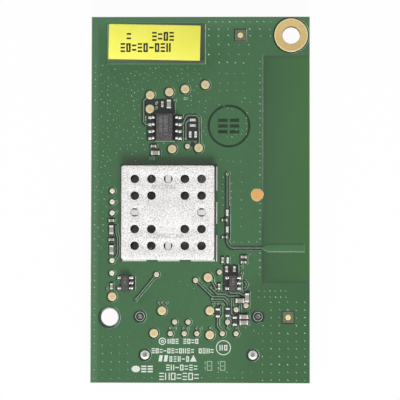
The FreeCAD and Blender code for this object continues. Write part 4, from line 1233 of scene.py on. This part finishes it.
def glyph(bm, kind, corner, width, height, line, base, turned=False):
    """One stand-in character: a box, two or three level bars, two upright bars or a dash."""
    low, high = base, base + PRINT
    sign = -1 if turned else 1

    def at(across, up):
        return Vector((corner[0] + sign * across, corner[1] + sign * up))

    half = line / 2
    if kind == "box":
        right, top = width - half, height - half
        ring = (at(half, half), at(right, half), at(right, top), at(half, top))
        stroke(bm, ring, line, low, high, closed=True)
    elif kind == "posts":
        for across in (half, width - half):
            stroke(bm, (at(across, 0), at(across, height)), line, low, high)
    else:
        levels = {
            "dash": (height / 2,), "pair": (height * 0.25, height * 0.75),
            "three": (half, height / 2, height - half),
        }
        for up in levels[kind]:
            stroke(bm, (at(0, up), at(width, up)), line, low, high)


def greeked(bm, corner, pattern, width, height, gap, line, base, turned=False):
    """A row of stand-in characters; a space leaves a gap."""
    kinds = {"o": "box", "=": "pair", "m": "three", "n": "posts", "-": "dash"}
    for index, letter in enumerate(pattern):
        if letter in kinds:
            shift = index * (width + gap) * (-1 if turned else 1)
            start = (corner[0] + shift, corner[1])
            glyph(bm, kinds[letter], start, width, height, line, base, turned)


def ring_mark(bm, centre, radius, line, base):
    """A printed ring."""
    stroke(bm, flat_circle(centre, radius, 56), line, base, base + PRINT, closed=True)


def silkscreen(look):
    """White print on the mask: stand-in rows, bold blocks, a triangle and two ring marks."""
    bm = bmesh.new()
    base = PRINT_BASE
    for left, top, pattern, width, height, gap in (
        (14.1, 59.88, "nom mo=o", 0.56, 0.92, 0.16), (11.2, 61.62, "mo=-om=onm= omn=", 0.56, 0.92, 0.155),
        (14.45, 63.15, "omn-o", 0.52, 1.02, 0.24), (13.85, 64.72, "mn-o=m=", 0.64, 1.05, 0.2),
        (12.6, 66.45, "mno=mo=", 0.84, 1.3, 0.22),
    ):
        greeked(bm, spot(left, top), pattern, width, height, gap, 0.19, base)
    for radius in (0.58, 0.2):
        ring_mark(bm, spot(13.15, 59.42), radius, 0.17, base)
    for left in (12.45, 13.4):
        corners = ((left, 63.1), (left + 0.62, 63.1), (left + 0.8, 61.95), (left + 0.18, 61.95))
        plate(bm, [spot(*corner) for corner in corners], base, base + PRINT)
    lozenge = [Vector((0.78 * point.x, 0.6 * point.y)) for point in flat_circle((0, 0), 1, 24)]
    plate(bm, [spot(8.32, 64.47) + point for point in lozenge], base, base + PRINT)
    greeked(bm, spot(9.3, 65.07), "mm", 0.95, 1.2, 0.22, 0.26, base)
    plate(bm, (spot(18.17, 63.1), spot(19.42, 63.1), spot(18.8, 61.9)), base, base + PRINT)
    disc = spot(24.28, 60.57)
    ring_mark(bm, disc, 1.29, 0.15, base)
    greeked(bm, disc + Vector((-0.72, -0.5)), "no", 0.6, 1.0, 0.24, 0.2, base)
    make_piece("silkscreen_marks", bm, look)


def chip_ticks(look):
    """Fine print beside the chips: outlines, a pin mark and short ticks."""
    bm = bmesh.new()
    base = PRINT_BASE
    fine = 0.1
    for top in (17.92, 22.9):
        stroke(bm, (spot(11.75, top), spot(15.35, top)), 0.12, base, base + PRINT)
    lathe(bm, spot(13.31, 23.25), ((0, base + PRINT), (0.1, base + PRINT), (0.1, base), (0, base)), 14)
    for left, top, pattern in (
        (11.75, 16.2, "o"), (11.75, 17.1, "o"),
        (16.95, 15.3, "o="), (10.7, 26.3, "n"), (11.3, 26.3, "o"), (15.1, 15.6, "="),
    ):
        greeked(bm, spot(left, top), pattern, 0.34, 0.5, 0.14, fine, base)
    make_piece("reference_ticks", bm, look)


def etched_boxes(look):
    """Plain boxes etched in the copper, each with a short dash inside and two ticks beside it."""
    bm = bmesh.new()
    base = PRINT_BASE
    for left in (21.75, 24.15):
        glyph(bm, "box", spot(left - 0.48, 64.75), 0.96, 1.75, 0.15, base)
        stroke(bm, (spot(left - 0.2, 63.88), spot(left + 0.2, 63.88)), 0.15, base, base + PRINT)
        for top in (63.36, 64.36):
            start = spot(left - 0.95, top)
            stroke(bm, (start + Vector((0, 0.2)), start + Vector((0.18, 0.2)), start + Vector((0.18, -0.25))),
                   0.12, base, base + PRINT)
    make_piece("etched_boxes", bm, look)


def ink_stamp(look):
    """A rubber-stamp ring round two bold sets of bars."""
    bm = bmesh.new()
    base = TOP - 0.004
    centre = spot(25.23, 20.1)
    stroke(bm, flat_circle(centre, 3.72, 96), 0.42, base, base + 0.01, closed=True)
    greeked(bm, centre + Vector((-1.98, -1.35)), "mm", 1.72, 2.7, 0.42, 0.6, base - 0.004)
    make_piece("ink_stamp", bm, look)


def part_label(looks, ink):
    """The paper label, a little turned, and two rows of stand-in print, upside down."""
    low, high = node_box("part_label")
    centre = (low + high) / 2
    turn = math.radians(-1.1)
    half = Vector((8.4, 3.225))
    turned = Matrix.Rotation(turn, 2)
    bm = bmesh.new()
    rings = []
    for inset, z in ((0.0, FLOOR - 0.005), (0.0, high.z - 0.012), (0.02, high.z)):
        corners = rounded_ring(Vector((*-half, 0)), Vector((*half, 0)), 0.08, 0, 3, (inset,) * 4)
        rings.append([Vector((*(centre.xy + turned @ point.xy), z)) for point in corners])
    join_rings(bm, rings)
    for face in bm.faces:
        face.normal_update()
        if abs(face.normal.z) < 0.5:
            face.material_index = 1
    make_piece("label_paper", bm, looks, ("part_label",))
    bm = bmesh.new()
    base = high.z - 0.002
    for left, top, pattern in (
        (14.54, 4.86, "nmo-om=om"), (15.1, 2.8, "mo=m"), (7.25, 2.75, "="),
    ):
        greeked(bm, spot(left, top), pattern, 0.82, 1.64, 0.23, 0.32, base, turned=True)
    make_piece("label_print", bm, ink)


def inspection_drop(look):
    """A drop of lacquer with an uneven rim and a nick at its lower right."""
    low, high = node_box("inspection_dot")
    centre = (low + high) / 2
    segments = 56
    radii = []
    for step in range(segments):
        angle = math.tau * step / segments
        wave = 0.03 * math.sin(3 * angle + 0.6) + 0.02 * math.sin(7 * angle)
        nick = 0.14 * math.exp(-((angle - math.radians(305)) / 0.13) ** 2)
        radii.append(1.16 + wave - nick)
    bm = bmesh.new()
    rings = []
    for share, z in (
        (0.97, FLOOR), (1.0, TOP + 0.002), (0.97, TOP + 0.012), (0.86, TOP + 0.03), (0.5, TOP + 0.042),
        (0.05, TOP + 0.045),
    ):
        unit = flat_circle((0, 0), 1, segments)
        rings.append([
            Vector((*(centre.xy + point * radius * share), z)) for point, radius in zip(unit, radii)
        ])
    join_rings(bm, rings)
    make_piece("lacquer_drop", bm, look, ("inspection_dot",))


# Shield can

VENT_PITCH = 3.04


def shield_cover(look):
    """The cover's sheet: a flat top with rolled vent edges, bent rims and upright walls."""
    low, high = node_box("shield_cover")
    centre = ((low + high) / 2).xy
    sheet = 0.15
    bend = 0.26
    corner = 0.5
    vent = 0.76
    lip = 0.05
    vents = [
        centre + Vector((across * VENT_PITCH, up * VENT_PITCH))
        for across in (-2, -1, 0, 1, 2) for up in (-2, -1, 0, 1, 2)
        if (across and up) or 2 in (abs(across), abs(up))
    ]
    segments = 40
    flat = Window(low, high, corner)
    loops = flat.outlines(bend) + [flat_circle(place, vent + lip, segments) for place in vents]

    def keep(point):
        on_top = flat.distance(point) < -bend + 1e-4
        return on_top and all((point - place).length > vent + lip for place in vents)

    bm = bmesh.new()
    planar_sheet(bm, loops, lambda point: high.z, keep)
    for place in vents:
        rolled = ((vent + lip, high.z), (vent + lip * 0.4, high.z - 0.008), (vent, high.z - 0.035))
        join_rings(bm, [circle(place, radius, z, segments) for radius, z in rolled], (False, False))
    rings = []
    for step in range(6):
        angle = math.radians(90 * step / 5)
        inward = bend * (1 - math.sin(angle))
        z = high.z - bend * (1 - math.cos(angle))
        rings.append(rounded_ring(flat.low, flat.high, corner - inward, z, 2, (inward,) * 4))
    rings.append(rounded_ring(flat.low, flat.high, corner, low.z, 2))
    join_rings(bm, rings, (False, False))
    bmesh.ops.remove_doubles(bm, verts=bm.verts, dist=2e-4)
    cover = make_piece("shield_cover_sheet", bm, look, ("shield_cover",), sharp=40)
    skin = cover.modifiers.new("Sheet", "SOLIDIFY")
    skin.thickness = sheet * MM
    skin.offset = -1.0
    skin.use_even_offset = True


def rib_edges(look):
    """The ribs' folded edges, which show in the middle vent of each side."""
    low, high = node_box("shield_cover")
    centre = ((low + high) / 2).xy
    top = node_box("shield_frame")[1].z
    reach = 0.98
    outer, inner = 0.53, 0.36
    bm = bmesh.new()
    for turn in range(4):
        out = Vector((math.cos(math.tau * turn / 4), math.sin(math.tau * turn / 4)))
        across = Vector((-out.y, out.x))
        for side in (-1, 1):
            corners = [
                centre + out * (2 * VENT_PITCH + along * reach) + across * side * off
                for along, off in ((-1, inner), (1, inner), (1, outer), (-1, outer))
            ]
            plate(bm, corners, top - 0.22, top - 0.07)
    make_piece("frame_rib_edges", bm, look)


# Moulded packages, leads and chips

def moulded_body(bm, low, high, band, draft, corner, bevel=0.0, soft=0.05):
    """A package: drafted above and below its lead band, with a wide bevel on the right if asked."""
    centre = (low.z + high.z) / 2
    half_band = band / 2
    slope = math.tan(math.radians(draft))
    rings = []
    for z in (low.z, centre - half_band, centre + half_band):
        inset = max(abs(z - centre) - half_band, 0) * slope
        rings.append((z, inset, inset, inset))
    upper = (high.z - centre - half_band) * slope
    start = high.z - max(bevel, soft)
    at_start = (start - centre - half_band) * slope
    rings.append((start, at_start, at_start, at_start))
    if bevel:
        rings.append((high.z - soft, upper, at_start + bevel - soft, at_start + (bevel - soft) * 0.6))
        rings.append((high.z, upper + soft, at_start + bevel, at_start + bevel * 0.6 + soft * 0.5))
    else:
        rings.append((high.z - soft * 0.3, upper + soft * 0.3, upper + soft * 0.3, upper + soft * 0.3))
        rings.append((high.z, upper + soft, upper + soft, upper + soft))
    join_rings(bm, [
        rounded_ring(low, high, corner, z, 3, (left, right, inset, inset)) for z, inset, right, left in rings
    ])


def body_print(bm, low, high, base):
    """Faint stand-in print on a package: a column of level bars, every third one split in two."""
    pitch = 0.27
    third = (high.x - low.x) / 3
    for index in range(int((high.y - low.y) / pitch)):
        top = high.y - pitch * index
        if index % 6 == 5:
            continue
        ends = ((low.x, low.x + third), (high.x - third, high.x)) if index % 3 == 1 else ((low.x, high.x),)
        for start, end in ends:
            stroke(bm, (Vector((start, top)), Vector((end, top))), 0.1, base, base + PRINT * 0.6)


def memory_chip(look, print_look):
    """The eight-lead body with two columns of print."""
    low, high = node_box("memory_chip")
    bm = bmesh.new()
    moulded_body(bm, low, high, 0.2, 7.0, 0.06, bevel=0.55)
    make_piece("memory_body", bm, look, ("memory_chip",))
    bm = bmesh.new()
    for left, reach, width in ((0.95, 3.2, 0.5), (1.85, 3.6, 0.62)):
        start = Vector((low.x + left, high.y - 0.55 - reach))
        body_print(bm, start, start + Vector((width, reach)), high.z - PRINT * 0.2)
    make_piece("memory_print", bm, print_look)


def regulator(side, look, print_look):
    """A five-lead body with one column of print."""
    low, high = node_box(f"{side}_regulator")
    bm = bmesh.new()
    moulded_body(bm, low, high, 0.15, 7.0, 0.05)
    make_piece(f"{side}_regulator_body", bm, look, (f"{side}_regulator",))
    bm = bmesh.new()
    centre = (low + high).xy / 2
    reach = Vector((0.22, 0.85))
    body_print(bm, centre - reach, centre + reach, high.z - PRINT * 0.2)
    make_piece(f"{side}_regulator_print", bm, print_look)


def arc(centre, radius, start, end, steps=5):
    """Points along part of a circle, between two angles in degrees."""
    angles = (math.radians(start + (end - start) * step / steps) for step in range(steps + 1))
    return [
        Vector((centre[0] + radius * math.cos(angle), centre[1] + radius * math.sin(angle)))
        for angle in angles
    ]


def gull_wing(bm, box, body, metal, bend, flat):
    """One lead as a bent strip: a shoulder at the body, a leg and a foot on its pad."""
    low, high = box
    centre = (low + high) / 2
    outward = 1 if centre.x > (body[0].x + body[1].x) / 2 else -1
    root = low.x if outward > 0 else high.x
    tip = high.x if outward > 0 else low.x
    span = abs(tip - root)
    shoulder = flat + metal / 2
    line = [Vector((-0.05, high.z - metal / 2))]
    line += arc((shoulder - bend, high.z - metal / 2 - bend), bend, 90, 0)
    line += arc((shoulder + bend, low.z + metal / 2 + bend), bend, 180, 270)
    line += [Vector((span - 0.04, low.z + metal / 2)), Vector((span, low.z + metal / 2))]
    width = high.y - low.y
    soft = 0.035
    rings = []
    for index, point in enumerate(line):
        before = line[max(index - 1, 0)]
        after = line[min(index + 1, len(line) - 1)]
        heading = (after - before).normalized()
        side = Vector((-heading.y, heading.x))
        shrink = 0.8 if index == len(line) - 1 else 1.0
        ring = []
        for across, up in (
            (-1, -soft), (-1, soft), (-soft, 1), (soft, 1), (1, soft), (1, -soft), (soft, -1), (-soft, -1),
        ):
            y = math.copysign(width / 2 - (soft if abs(across) < 1 else 0), across) * shrink
            thick = math.copysign(metal / 2 - (soft if abs(up) < 1 else 0), up) * shrink
            place = point + side * thick
            ring.append(Vector((root + outward * place.x, centre.y + y, place.y)))
        rings.append(ring)
    join_rings(bm, rings)


# Thickness of each package's leads, radius of their bends and length of their flat shoulders
LEAD_SIZES = ((0.2, 0.16, 0.35), (0.15, 0.11, 0.15), (0.15, 0.11, 0.15))


def lead_sets(look):
    """The gull-wing leads of all three packages."""
    for name, sizes in zip(LEAD_NODES, LEAD_SIZES):
        body = node_box("memory_chip" if name == "memory_leads" else name.removesuffix("_leads"))
        bm = bmesh.new()
        for box in islands(name):
            gull_wing(bm, box, body, *sizes)
        make_piece(f"{name}_formed", bm, look, (name,), sharp=45)


def solder_pads(look):
    """Soldered pads, each with a concave fillet up to the cap or foot that it holds."""
    held_boxes = END_CAPS + [box for name in LEAD_NODES for box in islands(name)]
    bm = bmesh.new()
    for low, high in SOLDER_PADS:
        soft_block(bm, Vector((low.x, low.y, FOOT)), high, 0.025, 0.07, 2)
        centre = (low + high) / 2
        for box in held_boxes:
            start, end = box
            if start.x < centre.x < end.x and start.y < centre.y < end.y:
                climb = (end.z - start.z) * 0.55 if box in END_CAPS else 0.13
                sides = (
                    ((1, 0), end.x, high.x - end.x), ((-1, 0), start.x, start.x - low.x),
                    ((0, 1), end.y, high.y - end.y), ((0, -1), start.y, start.y - low.y),
                )
                side = next((side for side in sides[:3] if side[2] > 0.05), sides[3])
                fillet(bm, centre, *side, climb, (low, high))
                break
    make_piece("soldered_pads", bm, look, ("solder_pads",), sharp=60)


def fillet(bm, centre, along, face, reach, climb, box):
    """A concave run of solder from a cap's face out to the pad's end."""
    ahead, aside = along
    across = Vector((-aside, ahead))
    width = abs((box[1] - box[0]).xy.dot(across)) / 2 - 0.03
    shares = [step / 4 for step in range(5)]
    profile = [(share * (reach - 0.01), climb * (1 - share) ** 2 + 0.004) for share in shares]
    rings = []
    for side in (-width, -width * 0.8, width * 0.8, width):
        drop = 0.6 if abs(side) > width * 0.9 else 1.0
        ring = []
        for out, up in profile:
            if ahead:
                flat = (face + ahead * (out - 0.01), centre.y + side)
            else:
                flat = (centre.x + side, face + aside * (out - 0.01))
            ring.append(Vector((*flat, TOP + up * drop)))
        ring += [Vector((*ring[end].xy, TOP - 0.01)) for end in (-1, 0)]
        rings.append(ring)
    join_rings(bm, rings)


def chip_blocks(node, look, edge, lowered=0.0):
    """Every block of a node with soft edges."""
    bm = bmesh.new()
    for low, high in islands(node):
        soft_block(bm, low, high - Vector((0, 0, lowered)), edge, edge * 1.3, 2)
    make_piece(f"{node}_soft", bm, look, (node,), sharp=50)


def radio_parts(looks):
    """The parts on the radio line: pale where they stand along it, dark where they branch off."""
    bm = bmesh.new()
    for low, high in islands("radio_line_parts"):
        before = set(bm.faces)
        soft_block(bm, low, high, 0.04, 0.05, 2)
        if high.x - low.x > high.y - low.y:
            for face in set(bm.faces) - before:
                face.material_index = 1
    make_piece("radio_parts_soft", bm, looks, ("radio_line_parts",), sharp=50)


def resistor_overcoats(look):
    """The dark glaze on top of each large resistor, between its caps."""
    bm = bmesh.new()
    for low, high in islands("resistor_bodies"):
        if high.x - low.x >= 0.6:
            start = Vector((low.x + 0.01, low.y + 0.01, high.z - 0.03))
            soft_block(bm, start, high + Vector((-0.01, -0.01, 0.012)), 0.015, 0.04, 1)
    make_piece("resistor_overcoats", bm, look)


def anchor_joints(look):
    """Solder cones round the anchor pins, with a soft foot."""
    bm = bmesh.new()
    bore = 0.36
    for low, high in ANCHOR_JOINTS:
        rim = (high.x - low.x) / 2
        lathe(bm, (low + high) / 2, (
            (bore, low.z), (rim - 0.02, low.z), (rim, low.z + 0.03), (rim - 0.06, low.z + 0.075),
            (rim - 0.2, low.z + 0.11), (bore + 0.12, high.z - 0.06), (bore + 0.03, high.z),
            (bore, high.z - 0.01),
        ), 40, closed=True)
    make_piece("anchor_solder_cones", bm, look, ("anchor_solder",), sharp=60)


def dress(name, look, bevel=0.0):
    """A carried-over node: its own mesh with a material and softened edges."""
    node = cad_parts[name]
    node.data.materials.clear()
    node.data.materials.append(look)
    if bevel:
        weld = node.modifiers.new("Weld", "WELD")
        weld.merge_threshold = 1e-6
        soft = node.modifiers.new("Edges", "BEVEL")
        soft.width = bevel * MM
        soft.segments = 2
        soft.limit_method = "ANGLE"
        soft.angle_limit = math.radians(40)
        soft.harden_normals = False


# Back of the board

def back_lands(look):
    """Soldered lands under the connector's contact tails."""
    bm = bmesh.new()
    low, high = node_box("connector_contacts")
    count = 15
    pitch = 1.25
    first = (low.x + high.x) / 2 - pitch * (count - 1) / 2
    half = 0.34
    for index in range(count):
        x = first + pitch * index
        start, end = (x - half, high.y - 1.35, BACK - 0.04), (x + half, high.y + 0.25, BACK + 0.02)
        soft_block(bm, Vector(start), Vector(end), 0.02, 0.08, 1)
    make_piece("contact_lands", bm, look)


def back_vias(look):
    """Vias on the back, clear of the connector's housing."""
    bm = bmesh.new()
    housing = Window(*node_box("connector_housing"))
    for place in clear_vias():
        if housing.distance(place) >= 0.4:
            lathe(bm, place, (
                (0, BACK + 0.004), (0.05, BACK + 0.002), (0.1, BACK - 0.022), (0.15, BACK - 0.028),
                (0.21, BACK - 0.012), (0.26, BACK + 0.002), (0.24, BACK + 0.02), (0, BACK + 0.02),
            ), 12)
    make_piece("back_vias", bm, look)


# Stage

WORLD_STRENGTH = 0.40
FLOOR_GLOW = 0.955
# Name, place in metres, side in metres, power
LAMPS = (
    ("key", (0.04, -0.42, 0.45), 0.26, 2.57),
    ("overhead", (0.02, -0.02, 0.9), 0.5, 0.785),
    ("lower_left", (-0.33, -0.33, 0.45), 0.11, 0.30),
)


def seen_by_camera(tree, otherwise, value, socket):
    """Gives a socket one value for what the camera sees directly, another for all other rays."""
    path = tree.nodes.new("ShaderNodeLightPath")
    lift = tree.nodes.new("ShaderNodeMapRange")
    lift.inputs["To Min"].default_value = otherwise
    lift.inputs["To Max"].default_value = value
    tree.links.new(path.outputs["Is Camera Ray"], lift.inputs["Value"])
    tree.links.new(lift.outputs["Result"], socket)


def floor():
    """A white floor that the camera sees evenly lit; all other rays meet a matt surface."""
    bm = bmesh.new()
    bmesh.ops.create_grid(bm, x_segments=1, y_segments=1, size=4.0)
    mesh = bpy.data.meshes.new("floor")
    bm.to_mesh(mesh)
    bm.free()
    add_object("floor", mesh)
    material = bpy.data.materials.new("floor_white")
    material.use_nodes = True
    tree = material.node_tree
    shader = tree.nodes["Principled BSDF"]
    shader.inputs["Base Color"].default_value = (0.9, 0.9, 0.9, 1)
    shader.inputs["Roughness"].default_value = 0.9
    glow = tree.nodes.new("ShaderNodeEmission")
    glow.inputs["Strength"].default_value = 1.0
    blend = tree.nodes.new("ShaderNodeMixShader")
    seen_by_camera(tree, 0.0, FLOOR_GLOW, blend.inputs[0])
    tree.links.new(shader.outputs[0], blend.inputs[1])
    tree.links.new(glow.outputs[0], blend.inputs[2])
    tree.links.new(blend.outputs[0], tree.nodes["Material Output"].inputs["Surface"])
    mesh.materials.append(material)


def light():
    """A white world that lights softly, and the three lamps."""
    world = bpy.data.worlds.new("studio")
    bpy.context.scene.world = world
    world.use_nodes = True
    back = world.node_tree.nodes["Background"]
    back.inputs["Color"].default_value = (1, 1, 1, 1)
    seen_by_camera(world.node_tree, WORLD_STRENGTH, 1.0, back.inputs["Strength"])
    for name, place, side, power in LAMPS:
        data = bpy.data.lights.new(name, "AREA")
        data.shape = "SQUARE"
        data.size = side
        data.energy = power
        lamp = add_object(name, data)
        lamp.location = place
        lamp.rotation_euler = (-Vector(place)).to_track_quat("-Z", "Y").to_euler()


def camera():
    """The photo's viewpoint, fitted to the board's corners."""
    data = bpy.data.cameras.new("camera")
    data.sensor_width = 36
    data.lens = 197.35
    eye = add_object("camera", data)
    eye.location = (0.01084, -0.01886, 0.405)
    eye.rotation_euler = tuple(math.radians(angle) for angle in (2.68, 1.553, 0.114))
    bpy.context.scene.camera = eye
    bpy.context.scene.view_settings.view_transform = "Standard"


def build_board():
    """The board's skin with its copper, gold, vias and print."""
    back = back_mask_look()
    circuit_board([mask_look(), laminate_look(), back])
    signal_traces([
        trace_look("masked_trace", (96, 122, 100), (128, 154, 130)),
        trace_look("masked_radio_line", (74, 94, 80), (112, 128, 116)),
    ])
    antenna_element(patch_look())
    bare_marks(bare_laminate_look())
    gold_pads(
        gold_look("gold_large", (213, 195, 142), (216, 204, 162)),
        gold_look("gold_small", (218, 211, 178), (227, 228, 210), (131, 111, 20)),
        gold_look("gold_mark", (232, 210, 138), (240, 228, 166)),
    )
    screw_ring(gold_look("gold_ring", (222, 190, 120), (226, 214, 174)))
    drilled_rims(rim_look())
    vias(via_look())
    ring_vias(ring_look())
    silkscreen(ink_look("silkscreen_white", (206, 212, 202), (230, 234, 228)))
    chip_ticks(ink_look("fine_print", (150, 170, 152), (178, 194, 180)))
    etched_boxes(ink_look("etched_copper", (138, 166, 138), (164, 188, 162), (0.4, 0.5)))
    ink_stamp(mottled("stamp_ink", (32, 46, 33), (50, 72, 50), 0.5, 6.0, (0.4, 0.5), depth=0.001,
                      Specular_IOR_Level=0.2))
    paper_edge = mottled("paper_edge", (228, 226, 190), (240, 238, 214), 3.0, 9.0, (0.6, 0.7))
    black_ink = mottled("label_ink", (30, 28, 22), (46, 44, 34), 4.0, 12.0, (0.5, 0.6), depth=0.001)
    part_label([label_look(), paper_edge], black_ink)
    inspection_drop(lacquer_look())
    return back


def build_shield():
    """The shield's cover and frame."""
    shield_cover(tin_look())
    frame_tin = frame_tin_look()
    dress("shield_frame", frame_tin)
    rib_edges(frame_tin)


def build_parts(solder):
    """Moulded packages, their leads and solder, and the small chips."""
    mould = mould_look("mould_black", (60, 57, 59), (73, 70, 72), (134, 130, 132))
    small_mould = mould_look("small_mould_black", (55, 53, 53), (66, 64, 64), (118, 115, 114))
    faint = ink_look("package_print", (120, 116, 119), (146, 142, 145))
    memory_chip(mould, faint)
    for side in ("left", "right"):
        regulator(side, small_mould, faint)
    lead_sets(solder_look("lead_tin", (222, 222, 218), (250, 249, 245), (58, 56, 52), (0.45, 0.92)))
    solder_pads(solder)
    cap_tin = solder_look("cap_tin", (214, 214, 210), (248, 248, 245))
    capacitor = ceramic_look("capacitor_ceramic", (142, 141, 128), (172, 171, 156))
    alumina = ceramic_look("alumina", (196, 198, 192), (220, 221, 215))
    chip_blocks("chip_end_caps", cap_tin, 0.05)
    chip_blocks("capacitor_bodies", capacitor, 0.04)
    chip_blocks("resistor_bodies", alumina, 0.03, 0.02)
    resistor_overcoats(ceramic_look("resistor_glaze", (34, 36, 36), (52, 54, 54)))
    radio_parts([
        ceramic_look("radio_glaze", (206, 210, 206), (232, 235, 231)),
        ceramic_look("branch_glaze", (54, 56, 54), (86, 88, 84)),
    ])


def build_hidden():
    """What stands under the shield, seen through its vents; its tin and ceramic carry painted shade."""
    inner_mould = mottled("inner_mould", (78, 76, 73), (92, 90, 87), 0.8, 5.0, (0.5, 0.65), depth=0.01)
    can = mottled("can_metal", (96, 95, 92), (124, 122, 118), 1.0, 6.0, (0.35, 0.5), metallic=0.6)
    dress("radio_chip", inner_mould)
    dress("front_end_chip", inner_mould)
    dress("crystal_can", can)
    dress("power_inductors", mottled("ferrite", (72, 70, 68), (88, 86, 84), 1.0, 8.0, (0.4, 0.6)))
    # Painted shade: this ceramic and tin are darker copies of the ceramic and tin outside the shield.
    dress("shielded_capacitors", ceramic_look("shaded_inner_ceramic", (102, 100, 92), (126, 124, 114)))
    dress("shielded_end_caps", solder_look("shaded_inner_tin", (120, 118, 112), (150, 148, 142)))


def build_connector(solder, back):
    """The rear connector, its joints, and the back's lands and vias."""
    dress("connector_housing", plastic_look(), 0.06)
    dress("connector_contacts", solder_look("contact_tin", (184, 182, 174), (226, 224, 216)), 0.03)
    dress("connector_anchors", mottled(
        "anchor_pin", (70, 70, 68), (180, 180, 176), 2.2, 7.0, (0.4, 0.6), metallic=0.2, depth=0.02))
    anchor_joints(mottled(
        "anchor_tin", (214, 213, 209), (246, 246, 243), 2.4, 8.0, (0.4, 0.55), metallic=0.2, depth=0.006))
    back_lands(solder)
    back_vias(back)


def build():
    camera()
    floor()
    light()
    back = build_board()
    build_shield()
    solder = solder_look("solder", (206, 206, 201), (246, 245, 241))
    build_parts(solder)
    build_hidden()
    build_connector(solder, back)


build()
